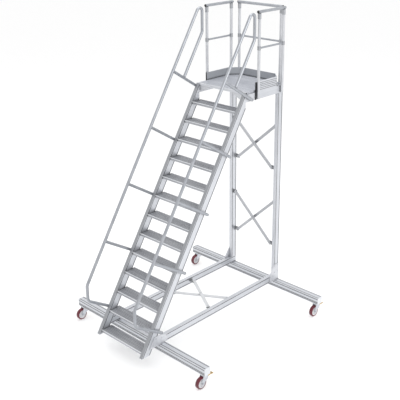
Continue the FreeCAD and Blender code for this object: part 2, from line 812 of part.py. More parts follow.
def corner_gusset(side, sign):
    """An upright plate under the platform's front edge, from the side beam inwards."""
    body = new_body(f"corner_gusset_{side}")
    sketch = new_sketch(body, "XZ_Plane")
    outer = f"{sign} * ({HALF_CLEAR} - {S}plate_thickness)"
    inner = f"{sign} * ({HALF_CLEAR} - {S}corner_gusset_width)"
    low = f"-{S}corner_gusset_height"
    draw_outline(sketch, [
        (outer, "0"),
        (inner, "0"),
        (inner, f"{low} / 3"),
        (f"{sign} * ({HALF_CLEAR} - {S}corner_gusset_width / 3)", low),
        (outer, low),
    ])
    pad(body, sketch, S + "plate_thickness", both_ways=True)
    middle = f"{STAIR_TOP_Y} + {S}plate_thickness * 1.5"
    return place(body, "0", row_y(middle), BEAM_TOP)


# ---------------------------------------------------------------- platform

def side_beam(side, sign):
    name = f"platform_side_beam_{side}"
    body = new_body(name)
    sketch = new_sketch(body, "XZ_Plane")
    half = f"{S}member_width / 2"
    wall = S + "side_beam_wall"
    high = S + "side_beam_height"
    draw_outline(sketch, [(f"-{half}", "0"), (half, "0"), (half, high), (f"-{half}", high)])
    draw_outline(sketch, [
        (f"-{half} + {wall}", wall),
        (f"{half} - {wall}", wall),
        (f"{half} - {wall}", f"{high} - {wall}"),
        (f"-{half} + {wall}", f"{high} - {wall}"),
    ])
    pad(body, sketch, f"{PLATFORM_REAR} - {STAIR_TOP_Y}", backwards=True)
    # The top support's rear bolt passes the stringer's end and goes through the beam.
    back, up = slope_point(support_along(f"{S}support_count"), GROOVES_IN[1])
    hole = new_sketch(body, "YZ_Plane")
    height = f"{S}first_tread_top + {up} - {BEAM_BOTTOM}"
    draw_circle(hole, f"{back} - {STAIR_TOP_Y}", height, S + "bolt_hole")
    pocket(body, hole)
    place(body, f"{sign} * {MEMBER_X}", row_y(STAIR_TOP_Y), BEAM_BOTTOM)
    return keep(name, body)


def cross_profile(name, length, depth, height, y, z):
    """A hollow box profile along X."""
    body = new_body(name)
    sketch = new_sketch(body, "YZ_Plane")
    wall = S + "side_beam_wall"
    draw_outline(sketch, [("0", "0"), (depth, "0"), (depth, height), ("0", height)])
    draw_outline(sketch, [
        (wall, wall),
        (f"{depth} - {wall}", wall),
        (f"{depth} - {wall}", f"{height} - {wall}"),
        (wall, f"{height} - {wall}"),
    ])
    pad(body, sketch, length, both_ways=True)
    place(body, "0", row_y(y), z)
    return keep(name, body)


def platform_deck():
    """The standing surface: a skin with deep edges and cross webs, and two cut rear corners."""
    body = new_body("platform_deck")
    half = f"({TOE_X} - {S}side_gap)"
    front = f"({STAIR_TOP_Y} + {S}nosing_profile_depth + {S}side_gap)"
    rear = f"({PLATFORM_REAR} - {S}toe_board_thickness - {S}side_gap)"
    cut = S + "corner_leg"
    sketch = new_sketch(body, "XY_Plane")
    draw_outline(sketch, [
        (f"-{half}", front),
        (half, front),
        (half, f"{rear} - {cut}"),
        (f"{half} - {cut}", rear),
        (f"-{half} + {cut}", rear),
        (f"-{half}", f"{rear} - {cut}"),
    ])
    pad(body, sketch, S + "deck_thickness")
    cell = new_sketch(body, "XY_Plane")
    web = S + "deck_skin"
    draw_outline(cell, [
        (f"-{half} + {web}", f"{front} + {web}"),
        (f"{half} - {web}", f"{front} + {web}"),
        (f"{half} - {web}", f"{front} + {S}deck_cell - {web}"),
        (f"-{half} + {web}", f"{front} + {S}deck_cell - {web}"),
    ])
    first = pocket(body, cell, f"{S}deck_thickness - {web}", both_ways=False, backwards=True)
    cells = f"floor(({rear} - {front} - {cut}) / {S}deck_cell)"
    repeat(body, first, "Y_Axis", f"({cells} - 1) * {S}deck_cell", cells)
    place(body, "0", S + "nosing_y", BEAM_TOP)
    return keep("platform_deck", body)


def toe_board(name, length):
    """A ribbed board along its own Y, with its outer face to +X and grooves in that face."""
    body = new_body(name)
    sketch = new_sketch(body, "XZ_Plane")
    thick = S + "toe_board_thickness"
    high = S + "toe_board_height"
    draw_outline(sketch, [("0", "0"), (thick, "0"), (thick, high), ("0", high)])
    pad(body, sketch, length, both_ways=True)
    groove = new_sketch(body, "XZ_Plane")
    step = f"{high} / ({S}toe_board_grooves + 1)"
    floor = f"{thick} - {S}toe_groove_depth"
    past = f"{thick} + {S}toe_groove_depth"
    low = f"{step} - {S}toe_groove_width / 2"
    up = f"{step} + {S}toe_groove_width / 2"
    draw_outline(groove, [(floor, low), (past, low), (past, up), (floor, up)])
    first = pocket(body, groove)
    repeat(body, first, "Z_Axis", f"({S}toe_board_grooves - 1) * {step}", S + "toe_board_grooves")
    return body


def toe_boards():
    """Boards on the left, rear and right edges, and across both rear corners."""
    boards = []
    inner_y = f"({PLATFORM_REAR} - {S}toe_board_thickness)"
    side_end = f"({inner_y} - {S}corner_leg)"
    side_length = f"{side_end} - {S}toe_board_start"
    side_middle = f"({side_end} + {S}toe_board_start) / 2"
    for side, sign in SIDES:
        board = toe_board(f"toe_board_{side}", side_length)
        turn = (Z_AXIS, 0) if sign > 0 else (Z_AXIS, 180)
        boards.append(place(board, f"{sign} * {TOE_X}", row_y(side_middle), BEAM_TOP, turn=turn))
        corner = toe_board(f"toe_board_corner_{side}", f"{S}corner_leg * sqrt(2) - 2 * {S}side_gap")
        turn = (Z_AXIS, 45) if sign > 0 else (Z_AXIS, 135)
        x = f"{sign} * ({TOE_X} - {S}corner_leg / 2)"
        boards.append(place(corner, x, row_y(f"{inner_y} - {S}corner_leg / 2"), BEAM_TOP, turn=turn))
    rear = toe_board("toe_board_rear", f"2 * ({TOE_X} - {S}corner_leg)")
    boards.append(place(rear, "0", row_y(inner_y), BEAM_TOP, turn=(Z_AXIS, 90)))
    return keep("toe_boards", group("toe_boards", boards))


def platform_edge_strips():
    """Upright end strips over the front ends of the side toe boards and beams."""
    strips = []
    for side, sign in SIDES:
        thick = S + "edge_strip_thickness"
        high = f"{S}side_beam_height + {S}toe_board_height"
        strip = block(f"edge_strip_{side}", thick, S + "edge_strip_width", high)
        edge = f"{sign} * ({OUTER_X} + {thick} / 2) - {thick} / 2"
        start = f"{S}guard_post_front - {S}guard_tube / 2 - {S}edge_strip_width - {S}side_gap"
        strips.append(place(strip, edge, row_y(start), BEAM_BOTTOM))
    return keep("platform_edge_strips", group("platform_edge_strips", strips))


# ---------------------------------------------------------------- guard rails

GUARD_TOP = f"({DECK_TOP} + {S}guard_height)"
KNEE_HEIGHT = f"({DECK_TOP} + {S}knee_height)"
REAR_GUARD_Y = f"({PLATFORM_REAR} + {S}guard_tube / 2 + {S}side_gap)"


def guard_panels():
    """Each panel as its two post places and the way its rails run."""
    panels = []
    for side, sign in SIDES:
        x = f"{sign} * {TUBE_X}"
        panels.append((side, (x, S + "guard_post_front"), (x, POST_Y), ALONG_Y))
    half = f"{S}rear_guard_spread / 2"
    panels.append(("rear", (f"-{half}", REAR_GUARD_Y), (half, REAR_GUARD_Y), ALONG_X))
    return panels


def guard_rails():
    """Posts, top rails, knee rails, their collars and the end caps, each kind as one node."""
    posts = []
    tops = []
    knees = []
    collars = []
    caps = []
    tube = S + "guard_tube"
    foot = f"({DECK_TOP} - {S}guard_post_drop)"
    rail_bottom = f"{GUARD_TOP} - {tube} / 2"
    collar_wall = f"({S}collar_diameter - {tube}) / 2"
    collar_rows = (
        ("top", f"({rail_bottom} - {S}collar_height / 2)", S + "collar_height"),
        ("knee", KNEE_HEIGHT, S + "knee_collar_height"),
    )
    for panel, first, second, turn in guard_panels():
        spread = f"({second[0]} - ({first[0]}) + {second[1]} - ({first[1]}))"
        for number, (x, y) in enumerate((first, second)):
            tag = f"{panel}_{number}"
            post = ring_tube(f"guard_post_{tag}", tube, S + "guard_wall", f"{rail_bottom} - {foot}")
            posts.append(place(post, x, row_y(y), foot))
            for kind, middle, height in collar_rows:
                collar = ring_tube(f"{kind}_collar_{tag}", S + "collar_diameter", collar_wall, height)
                collars.append(place(collar, x, row_y(y), f"{middle} - {height} / 2"))
        middle_x = f"({first[0]} + ({second[0]})) / 2"
        middle_y = row_y(f"({first[1]} + {second[1]}) / 2")
        top_length = f"{spread} + 2 * {S}rail_overhang"
        top = ring_tube(f"top_rail_{panel}", tube, S + "guard_wall", top_length, both_ways=True)
        tops.append(place(top, middle_x, middle_y, GUARD_TOP, turn=turn))
        knee_length = f"{spread} - {S}collar_diameter"
        knee = ring_tube(
            f"knee_rail_{panel}", S + "knee_tube", S + "guard_wall", knee_length, both_ways=True)
        knees.append(place(knee, middle_x, middle_y, KNEE_HEIGHT, turn=turn))
        for end in (-1, 1):
            cap = rail_cap(f"rail_cap_{panel}_{'ab'[end > 0]}")
            reach = f"{end} * ({top_length}) / 2"
            if turn is ALONG_Y:
                cap_turn = (X_AXIS, -90 * end)
                place(cap, middle_x, f"{middle_y} + {reach}", GUARD_TOP, turn=cap_turn)
            else:
                cap_turn = (Y_AXIS, 90 * end)
                place(cap, f"{middle_x} + {reach}", middle_y, GUARD_TOP, turn=cap_turn)
            caps.append(cap)
    keep("guard_posts", group("guard_posts", posts))
    keep("guard_top_rails", group("guard_top_rails", tops))
    keep("guard_knee_rails", group("guard_knee_rails", knees))
    keep("guard_collars", group("guard_collars", collars))
    return keep("guard_rail_caps", group("guard_rail_caps", caps))


def rail_cap(name):
    """A domed plug on the end of a rail, standing on its own XY plane."""
    dome = doc.addObject("Part::Ellipsoid", name)
    dome.Angle1 = 0
    dome.setExpression("Radius1", S + "rail_cap_depth")
    dome.setExpression("Radius2", S + "guard_tube / 2")
    return dome


# ---------------------------------------------------------------- handrails

def handrail_corners():
    """The bend points of the handrail's centre line, as distances behind the first tread's front
    edge and heights above its top: foot, lower bend, knee, top, return and tail."""
    lead = S + "handrail_lead"
    off = f"({S}handrail_offset / {COS})"
    tail_off = f"({S}handrail_tail_offset / {COS})"
    foot_along = SUPPORT_FOOT
    tail_along = f"{support_along(S + 'support_count')} + {S}guard_tube / 2 + {S}side_gap"
    return [
        slope_point(foot_along, f"{S}stringer_depth + {S}support_overhang"),
        (f"-{lead}", f"{foot_along} / {SIN} + {lead} * {RUN} / {RISE}"),
        (f"-{lead}", f"{off} - {lead} * {RISE} / {RUN}"),
        (S + "handrail_top_y", f"{off} + {S}handrail_top_y * {RISE} / {RUN}"),
        (S + "handrail_end_y", f"{off} + {S}handrail_top_y * {RISE} / {RUN} + {S}handrail_top_lift"),
        (S + "handrail_end_y", f"{tail_off} + {S}handrail_end_y * {RISE} / {RUN}"),
        slope_point(tail_along, f"-{S}handrail_tail_offset"),
    ]


def draw_bent_line(sketch, corners, radii):
    """Straight runs joined by tangent arcs. Each inner corner is a point where two runs meet."""
    points = [FreeCAD.Vector(amount_of(x), amount_of(y), 0) for x, y in corners]
    last = len(points) - 1
    starts = [points[0]]
    ends = []
    arcs = []
    for i in range(1, last):
        inwards = (points[i - 1] - points[i]).normalize()
        outwards = (points[i + 1] - points[i]).normalize()
        turn = inwards.getAngle(outwards)
        radius = amount_of(radii[i - 1])
        ends.append(points[i] + inwards * (radius / math.tan(turn / 2)))
        starts.append(points[i] + outwards * (radius / math.tan(turn / 2)))
        middle_way = (inwards + outwards).normalize()
        middle = points[i] + middle_way * (radius / math.sin(turn / 2) - radius)
        arcs.append(Part.Arc(ends[-1], middle, starts[-1]))
    ends.append(points[last])
    for i in range(last):
        sketch.addGeometry(Part.LineSegment(starts[i], ends[i]))
    for i, arc in enumerate(arcs):
        bend = sketch.addGeometry(arc)
        corner = sketch.addGeometry(Part.Point(points[i + 1]), True)
        begins = (sketch.getPoint(bend, 1) - ends[i]).Length < (sketch.getPoint(bend, 2) - ends[i]).Length
        near, far = (1, 2) if begins else (2, 1)
        sketch.addConstraint(Sketcher.Constraint("Tangent", i, 2, bend, near))
        sketch.addConstraint(Sketcher.Constraint("Tangent", i + 1, 1, bend, far))
        sketch.addConstraint(Sketcher.Constraint("PointOnObject", corner, 1, i))
        sketch.addConstraint(Sketcher.Constraint("PointOnObject", corner, 1, i + 1))
        rule = sketch.addConstraint(Sketcher.Constraint("Radius", bend, amount_of(radii[i])))
        sketch.setExpression(f"Constraints[{rule}]", radii[i])
        fix_point(sketch, corner, 1, *corners[i + 1])
    fix_point(sketch, 0, 1, *corners[0])
    fix_point(sketch, last - 1, 2, *corners[last])


def handrail(side, sign):
    """One tube: a foot across the stringer, the rail above the treads, a bend over the platform's
    front edge and a tail that comes back down to the top support."""
    name = f"handrail_{side}"
    body = new_body(name)
    path = new_sketch(body, "YZ_Plane")
    bend = S + "handrail_bend"
    top_bend = S + "handrail_top_bend"
    draw_bent_line(path, handrail_corners(), [bend, bend, top_bend, top_bend, bend])
    section = body.newObject("Sketcher::SketchObject", name + "_section")
    section.AttachmentSupport = [(path, "Edge1")]
    section.MapMode = "NormalToEdge"
    draw_circle(section, "0", "0", S + "guard_tube")
    draw_circle(section, "0", "0", f"{S}guard_tube - 2 * {S}guard_wall")
    doc.recompute()
    tube = body.newObject("PartDesign::AdditivePipe", name + "_tube")
    tube.Profile = section
    tube.Spine = path
    tube.Transition = "Round corner"
    holes = new_sketch(body, "YZ_Plane")
    for inwards in GROOVES_IN:
        back, up = slope_point(SUPPORT_FOOT, inwards)
        draw_circle(holes, back, up, S + "bolt_hole")
    pocket(body, holes)
    place(body, f"{sign} * {TUBE_X}", S + "nosing_y", S + "first_tread_top")
    return keep(name, body)


def handrail_support(side, sign, number):
    """A tube square to the slope, from under the handrail across the stringer's outer face. Its
    upper end is hollowed to the handrail, and bolts go through it into the stringer's grooves."""
    body = new_body(f"support_{side}_{number}")
    tube = S + "guard_tube"
    section = new_sketch(body, "XZ_Plane", f"-({S}stringer_depth + {S}support_overhang)")
    draw_circle(section, "0", "0", tube)
    draw_circle(section, "0", "0", f"{tube} - 2 * {S}guard_wall")
    pad(body, section, f"{S}stringer_depth + {S}support_overhang + {S}handrail_offset")
    saddle = new_sketch(body, "XY_Plane")
    draw_circle(saddle, "0", f"-{S}handrail_offset", f"{tube} + 2 * {S}side_gap")
    pocket(body, saddle)
    holes = new_sketch(body, "YZ_Plane")
    for inwards in GROOVES_IN:
        draw_circle(holes, inwards, "0", S + "bolt_hole")
    pocket(body, holes)
    back, up = slope_point(support_along(number), "0")
    return place(body, f"{sign} * {TUBE_X}", row_y(back), f"{S}first_tread_top + {up}", lean=LEAN)


def handrail_supports():
    """The supports of both handrails, and two bolts through each of them and each foot."""
    supports = []
    bolts = []
    count = int(amount_of(S + "support_count"))
    length = f"{S}guard_tube + {S}side_gap + {S}slot_depth"
    for side, sign in SIDES:
        turn = ALONG_X if sign > 0 else ALONG_MINUS_X
        head_x = f"{sign} * ({TUBE_X} + {S}guard_tube / 2)"
        alongs = [SUPPORT_FOOT]
        for number in range(1, count + 1):
            supports.append(handrail_support(side, sign, number))
            alongs.append(support_along(number))
        for number, along in enumerate(alongs):
            for which, inwards in enumerate(GROOVES_IN):
                back, up = slope_point(along, inwards)
                support_bolt = bolt(f"support_bolt_{side}_{number}_{which}", length)
                bolt_z = f"{S}first_tread_top + {up}"
                bolts.append(place(support_bolt, head_x, row_y(back), bolt_z, turn=turn))
    keep("handrail_supports", group("handrail_supports", supports))
    return bolts


# ---------------------------------------------------------------- castors

CASTORS = (
    ("front_left", -1, S + "front_traverse_y"),
    ("front_right", 1, S + "front_traverse_y"),
    ("rear_left", -1, S + "rear_traverse_y"),
    ("rear_right", 1, S + "rear_traverse_y"),
)
CROWN_HEIGHT = f"({CROWN_TOP} - {S}crown_thickness)"


def castor_mount(corner):
    """The fixed half of a castor: its plate, the bearing race and the kingpin with its nut. It
    stands on the swivel axis and its own Z is the height above the floor."""
    plate = new_body(f"mount_{corner}")
    sketch = new_sketch(plate, "XY_Plane", f"{S}castor_height - {S}castor_plate_thickness")
    half = f"{S}castor_plate / 2"
    draw_outline(sketch, [(f"-{half}", f"-{half}"), (half, f"-{half}"), (half, half), (f"-{half}", half)])
    pad(plate, sketch, S + "castor_plate_thickness")
    race = new_sketch(plate, "XY_Plane", f"{S}castor_height - {S}castor_plate_thickness")
    draw_circle(race, "0", "0", S + "race_diameter")
    pad(plate, race, S + "race_height", backwards=True)
    pin = new_sketch(plate, "XY_Plane", f"{CROWN_HEIGHT} - {S}race_gap")
    draw_circle(pin, "0", "0", S + "kingpin_diameter")
    pad(plate, pin, f"{S}race_height + {S}crown_thickness + 2 * {S}race_gap")
    nut = new_sketch(plate, "XY_Plane", f"{CROWN_HEIGHT} - {S}race_gap")
    draw_circle(nut, "0", "0", S + "kingpin_nut")
    pad(plate, nut, S + "crown_thickness", backwards=True)
    holes = new_sketch(plate, "XY_Plane", S + "castor_height")
    half_grid = f"{S}castor_plate_bolts / 2"
    for x in ("-", ""):
        for y in ("-", ""):
            draw_circle(holes, f"{x}{half_grid}", f"{y}{half_grid}", S + "bolt_hole")
    pocket(plate, holes)
    return plate


def castor_fork(corner):
    """A pressed fork with its crown, the wheel's axle and the pedal's pin, on the swivel axis."""
    fork = new_body(f"fork_{corner}")
    outline = new_sketch(fork, "YZ_Plane")
    half_crown = f"{S}crown_diameter / 2"
    trail = f"-{S}castor_trail"
    eye = S + "fork_eye"
    draw_outline(outline, [
        (f"-{half_crown}", CROWN_TOP),
        (f"{trail} - {eye}", f"{AXLE_HEIGHT} + {eye} / 2"),
        (f"{trail} - {eye}", f"{AXLE_HEIGHT} - {eye} / 2"),
        (f"{trail} - {eye} / 2", f"{AXLE_HEIGHT} - {eye}"),
        (f"{trail} + {eye} / 2", f"{AXLE_HEIGHT} - {eye}"),
        (f"{S}pedal_pivot_y + {eye} / 1.5", f"{S}pedal_pivot_height - {eye}"),
        (f"{S}pedal_pivot_y + {eye} / 1.5", f"{S}pedal_pivot_height + {eye} / 2"),
        (half_crown, CROWN_TOP),
    ])
    width = f"{S}fork_gap + 2 * {S}fork_wall"
    pad(fork, outline, width, both_ways=True)
    slot = new_sketch(fork, "XZ_Plane")
    half_gap = f"{S}fork_gap / 2"
    draw_outline(slot, [
        (f"-{half_gap}", "0"),
        (half_gap, "0"),
        (half_gap, CROWN_HEIGHT),
        (f"-{half_gap}", CROWN_HEIGHT),
    ])
    pocket(fork, slot)
    bore = new_sketch(fork, "XY_Plane", CROWN_TOP)
    draw_circle(bore, "0", "0", f"{S}kingpin_diameter + 2 * {S}running_gap")
    pocket(fork, bore)
    eyes = new_sketch(fork, "YZ_Plane")
    draw_circle(eyes, trail, AXLE_HEIGHT, S + "axle_diameter")
    draw_circle(eyes, S + "pedal_pivot_y", S + "pedal_pivot_height", S + "pedal_pin")
    pocket(fork, eyes)

    axle = rod(f"axle_{corner}", S + "axle_diameter", f"{width} + {S}axle_diameter", both_ways=True)
    place(axle, "0", trail, AXLE_HEIGHT, turn=ALONG_X)
    pin = rod(f"pedal_pin_{corner}", S + "pedal_pin", f"{width} + {S}pedal_pin / 2", both_ways=True)
    place(pin, "0", S + "pedal_pivot_y", S + "pedal_pivot_height", turn=ALONG_X)
    return group(f"castor_fork_{corner}", [fork, axle, pin])


def turned_body(name, section):
    """A body turned about X through the wheel's centre, from a section of X and radius."""
    body = new_body(name)
    sketch = new_sketch(body, "XY_Plane")
    draw_outline(sketch, section)
    turned = body.newObject("PartDesign::Revolution", name + "_turned")
    turned.Profile = sketch
    turned.ReferenceAxis = (next(f for f in body.Origin.OriginFeatures if f.Role == "X_Axis"), [""])
    turned.Angle = 360
    return body


def castor_wheel(corner):
    """The light wheel centre: a hub with the axle's bore, a thin web and a rim."""
    hub = f"{S}hub_diameter / 2"
    rim = f"{S}rim_diameter / 2"
    rim_in = f"{rim} - {S}rim_wall"
    bore = f"{S}axle_diameter / 2 + {S}running_gap"
    half = f"{S}wheel_width / 2"
    web = f"{S}wheel_web / 2"
    rim_half = f"{half} - {S}rim_step"
    right_half = [(half, hub), (web, hub), (web, rim_in), (rim_half, rim_in), (rim_half, rim)]
    left_half = [(f"-({x})", radius) for x, radius in reversed(right_half)]
    section = [(f"-{half}", bore), (half, bore), *right_half, *left_half]
    return turned_body(f"castor_wheel_{corner}", section)


def castor_tyre(corner):
    """The tread band on the rim, with shoulders that slope over half of its thickness."""
    rim = f"{S}rim_diameter / 2"
    half = f"{S}wheel_width / 2"
    slope = f"({AXLE_HEIGHT} - {rim}) / 2"
    return turned_body(f"castor_tyre_{corner}", [
        (f"-{half}", rim),
        (half, rim),
        (half, f"{AXLE_HEIGHT} - {slope}"),
        (f"{half} - {slope} / 3", f"{AXLE_HEIGHT} - {slope} / 3"),
        (f"{half} - {slope}", AXLE_HEIGHT),
        (f"-{half} + {slope}", AXLE_HEIGHT),
        (f"-{half} + {slope} / 3", f"{AXLE_HEIGHT} - {slope} / 3"),
        (f"-{half}", f"{AXLE_HEIGHT} - {slope}"),
    ])


def castor_pedal(corner):
    """The brake lever: a bent plate between the fork's sides and a shoe that hangs by the tyre."""
    body = new_body(f"castor_pedal_{corner}")
    outline = new_sketch(body, "YZ_Plane")
    around = S + "pedal_pin"
    reach = S + "pedal_reach"
    drop = S + "pedal_shoe_drop"
    # Round the eye and down the shoe, then out under the lever, round its lip and back on top.
    # The eye stands as far from the pin's middle as the pin is thick, and the lever follows it.
    draw_outline(outline, [
        (f"-{around} * 0.9", around),
        (f"-{around} * 1.1", f"-{around}"),
        (f"-{around}", f"-{drop}"),
        (f"{around} * 0.6", f"-{drop}"),
        (f"{around} * 1.4", f"-{around} * 0.8"),
        (f"{reach} * 0.55", f"-{around} * 0.2"),
        (f"{reach} * 0.95", f"-{around} * 1.1"),
        (reach, f"-{around} * 0.6"),
        (f"{reach} * 0.6", f"{around} * 0.8"),
        (f"{around}", around),
    ])
    draw_circle(outline, "0", "0", f"{S}pedal_pin + 2 * {S}running_gap")
    pad(body, outline, S + "pedal_width", both_ways=True)
    return body


def castors():
    """Four castors: wheels trail to the front and pedals point to the rear."""
    mounts = []
    bolts = []
    for corner, sign, traverse_y in CASTORS:
        x = f"{sign} * {CASTOR_X}"
        y = row_y(traverse_y)
        mounts.append(place(castor_mount(corner), x, y))
        keep(f"castor_fork_{corner}", place(castor_fork(corner), x, y))
        axle_y = row_y(f"{traverse_y} - {S}castor_trail")
        keep(f"castor_wheel_{corner}", place(castor_wheel(corner), x, axle_y, AXLE_HEIGHT))
        keep(f"castor_tyre_{corner}", place(castor_tyre(corner), x, axle_y, AXLE_HEIGHT))
        pivot_y = row_y(f"{traverse_y} + {S}pedal_pivot_y")
        keep(f"castor_pedal_{corner}", place(castor_pedal(corner), x, pivot_y, S + "pedal_pivot_height"))
        for number, (x_sign, y_sign) in enumerate(((-1, -1), (1, -1), (1, 1), (-1, 1))):
            plate_bolt = bolt(f"castor_bolt_{corner}_{number}", S + "castor_plate_thickness")
            bolt_x = f"{x} + {x_sign} * {S}castor_plate_bolts / 2"
            bolt_y = f"{y} + {y_sign} * {S}castor_plate_bolts / 2"
            bolt_z = f"{S}castor_height - {S}castor_plate_thickness"
            bolts.append(place(plate_bolt, bolt_x, bolt_y, bolt_z, turn=UPSIDE_DOWN))
    keep("castor_mounts", group("castor_mounts", mounts))
    return bolts


# ---------------------------------------------------------------- the whole model

for side, sign in SIDES:
    stringer(side, sign)
    base_beam(side, sign)
    rear_post(side, sign)
    side_beam(side, sign)
    handrail(side, sign)
for number in range(1, int(amount_of(S + "tread_count")) + 1):
    tread(number)
traverse("front_traverse", S + "front_traverse_y")
traverse("rear_traverse", S + "rear_traverse_y")
keep("profile_end_caps", group("profile_end_caps", stringer_end_caps() + traverse_end_caps()))
cross_profile(
    "platform_nosing_profile", f"2 * {TOE_X}",
    S + "nosing_profile_depth", S + "deck_thickness", STAIR_TOP_Y, BEAM_TOP)
cross_profile(
    "platform_rear_profile", f"{S}clear_width - 2 * {S}side_gap",
    S + "nosing_profile_depth", S + "side_beam_height",
    f"{PLATFORM_REAR} - {S}nosing_profile_depth", BEAM_BOTTOM)
platform_deck()
toe_boards()
platform_edge_strips()
guard_rails()
fasteners = cross_braces() + joint_plates() + handrail_supports() + castors()
keep("frame_bolts", group("frame_bolts", fasteners))

doc.recompute()
failed = [thing.Name for thing in doc.Objects if {"Invalid", "Error"} & set(thing.State)]
if failed:
    raise RuntimeError(f"these objects failed: {failed}")
for name, thing in nodes.items():
    if thing.Shape.isNull() or not thing.Shape.isValid():
        raise RuntimeError(f"{name} has no valid shape")
for name, thing in nodes.items():
    thing.Shape.exportStep(f"parts/{name}.step")
print(f"{len(nodes)} sub-parts written")
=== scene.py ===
import json
import math

import bmesh
import bpy
import numpy as np
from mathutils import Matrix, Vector


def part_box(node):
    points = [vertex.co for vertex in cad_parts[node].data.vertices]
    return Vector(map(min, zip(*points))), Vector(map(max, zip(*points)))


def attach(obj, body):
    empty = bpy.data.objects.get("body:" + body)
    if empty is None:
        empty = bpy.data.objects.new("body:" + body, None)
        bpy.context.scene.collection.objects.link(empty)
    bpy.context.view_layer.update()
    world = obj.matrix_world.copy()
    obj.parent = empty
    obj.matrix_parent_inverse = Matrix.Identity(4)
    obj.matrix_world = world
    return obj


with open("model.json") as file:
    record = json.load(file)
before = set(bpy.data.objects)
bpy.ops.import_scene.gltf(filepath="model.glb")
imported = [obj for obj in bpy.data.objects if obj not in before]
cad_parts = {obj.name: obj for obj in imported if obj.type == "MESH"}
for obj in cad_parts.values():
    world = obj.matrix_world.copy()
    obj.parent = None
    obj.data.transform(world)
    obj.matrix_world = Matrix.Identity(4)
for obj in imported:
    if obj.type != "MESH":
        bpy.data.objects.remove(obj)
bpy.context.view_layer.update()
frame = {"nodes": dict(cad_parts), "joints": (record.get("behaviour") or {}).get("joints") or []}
corners = ("front_left", "front_right", "rear_left", "rear_right")
joints = {joint["name"]: np.array(joint["pos_m"]) for joint in frame["joints"]}
print("frame loaded:", len(frame["nodes"]), "nodes")


# a shape is an array of points and one of four-cornered faces; sizes are in metres

# each point of a grid is joined to its next in both directions; ring closes the columns
def gridFaces(rows, columns, ring=False):
    row = np.arange(rows - 1)
    column = np.arange(columns if ring else columns - 1)
    row, column = np.meshgrid(row, column, indexing="ij")
    after = (column + 1) % columns
    here = row * columns
    below = here + columns
    return np.stack((here + column, here + after, below + after, below + column), -1).reshape(-1, 4)


# three unit rows: the direction, the side made square to it, and the third square to both
def axesAlong(direction, side):
    first = np.array(direction, float)
    first = first / np.linalg.norm(first)
    second = np.array(side, float) - np.dot(side, first) * first
    second = second / np.linalg.norm(second)
    return np.array([first, second, np.cross(first, second)])


# an outline of (along, radius) swung round the first axis: (along, radius cos turn, radius sin turn)
def roundShape(outline, steps, radiusOf=None):
    along, radius = np.array(outline, float).T
    turn = np.arange(steps) * 2 * np.pi / steps
    wide = radius[:, None] + 0 * turn
    if radiusOf is not None:
        wide = radiusOf(wide, turn)
    points = np.stack([along[:, None] + 0 * wide, wide * np.cos(turn), wide * np.sin(turn)], -1)
    return points.reshape(-1, 3), gridFaces(len(along), steps, ring=True)


# a closed outline of (across, out) carried straight from start to end, and shut at both ends
def carriedShape(section, start, end, across, outwards):
    section = np.array(section, float)
    middle = 0 * section + section.mean(0)
    rows = np.array([middle, section, section, middle])
    ends = np.array([start, start, end, end], float)
    spread = rows[..., :1] * np.array(across, float) + rows[..., 1:] * np.array(outwards, float)
    return (ends[:, None, :] + spread).reshape(-1, 3), gridFaces(4, len(section), ring=True)


# turned by the axes' rows, then moved to the centre
def placed(shape, centre, axes=None):
    points, faces = shape
    turned = points if axes is None else points @ axes
    return turned + np.array(centre, float), faces


def placedAll(shapes, centre):
    return [placed(shape, centre) for shape in shapes]


# the same shape at every centre, as one array
def copiesAt(shape, centres):
    points, faces = shape
    centres = np.array(centres, float)
    many = (points[None] + centres[:, None]).reshape(-1, 3)
    steps = np.arange(len(centres))[:, None, None] * len(points)
    return many, (faces[None] + steps).reshape(-1, 4)


pieceMesh = {
    "weld": 2e-6,
    "thin": 1e-7,
    "smoothTurn": 35.0,
    "bluntTurn": 60.0,
    "ribTurn": 25.0,
}


# welds doubled points, turns faces outwards and shades all but sharp edges smooth
def putPiece(name, shapes, body, material, smoothTurn=pieceMesh["smoothTurn"]):
    counts = np.cumsum([0] + [len(points) for points, faces in shapes])
    allPoints = np.concatenate([points for points, faces in shapes])
    allFaces = np.concatenate([faces + count for (points, faces), count in zip(shapes, counts)])
    mesh = bpy.data.meshes.new(name)
    mesh.from_pydata(allPoints.tolist(), [], allFaces.tolist())
    work = bmesh.new()
    work.from_mesh(mesh)
    bmesh.ops.remove_doubles(work, verts=work.verts, dist=pieceMesh["weld"])
    bmesh.ops.dissolve_degenerate(work, edges=work.edges, dist=pieceMesh["thin"])
    bmesh.ops.recalc_face_normals(work, faces=work.faces)
    work.to_mesh(mesh)
    work.free()
    mesh.shade_smooth()
    mesh.set_sharp_from_angle(angle=math.radians(smoothTurn))
    mesh.materials.append(material)
    piece = bpy.data.objects.new(name, mesh)
    bpy.context.scene.collection.objects.link(piece)
    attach(piece, body)
    return piece


# a shader node with its settings; a value that is a socket is linked
def makeNode(tree, kind, values=None, **settings):
    node = tree.nodes.new("ShaderNode" + kind)
    for key, value in settings.items():
        setattr(node, key, value)
    for key, value in (values or {}).items():
        if isinstance(value, bpy.types.NodeSocket):
            tree.links.new(value, node.inputs[key])
        else:
            node.inputs[key].default_value = value
    return node


# an empty material: its node tree, its shader, and the place on the object
def startFinish(name):
    material = bpy.data.materials.new(name)
    material.use_nodes = True
    tree = material.node_tree
    tree.nodes.clear()
    shader = makeNode(tree, "BsdfPrincipled")
    output = makeNode(tree, "OutputMaterial")
    tree.links.new(shader.outputs["BSDF"], output.inputs["Surface"])
    place = makeNode(tree, "TexCoord").outputs["Object"]
    return material, tree, shader, place


def mathStep(tree, operation, first, second=0.0, clamp=False):
    return makeNode(tree, "Math", {0: first, 1: second}, operation=operation, use_clamp=clamp).outputs[0]


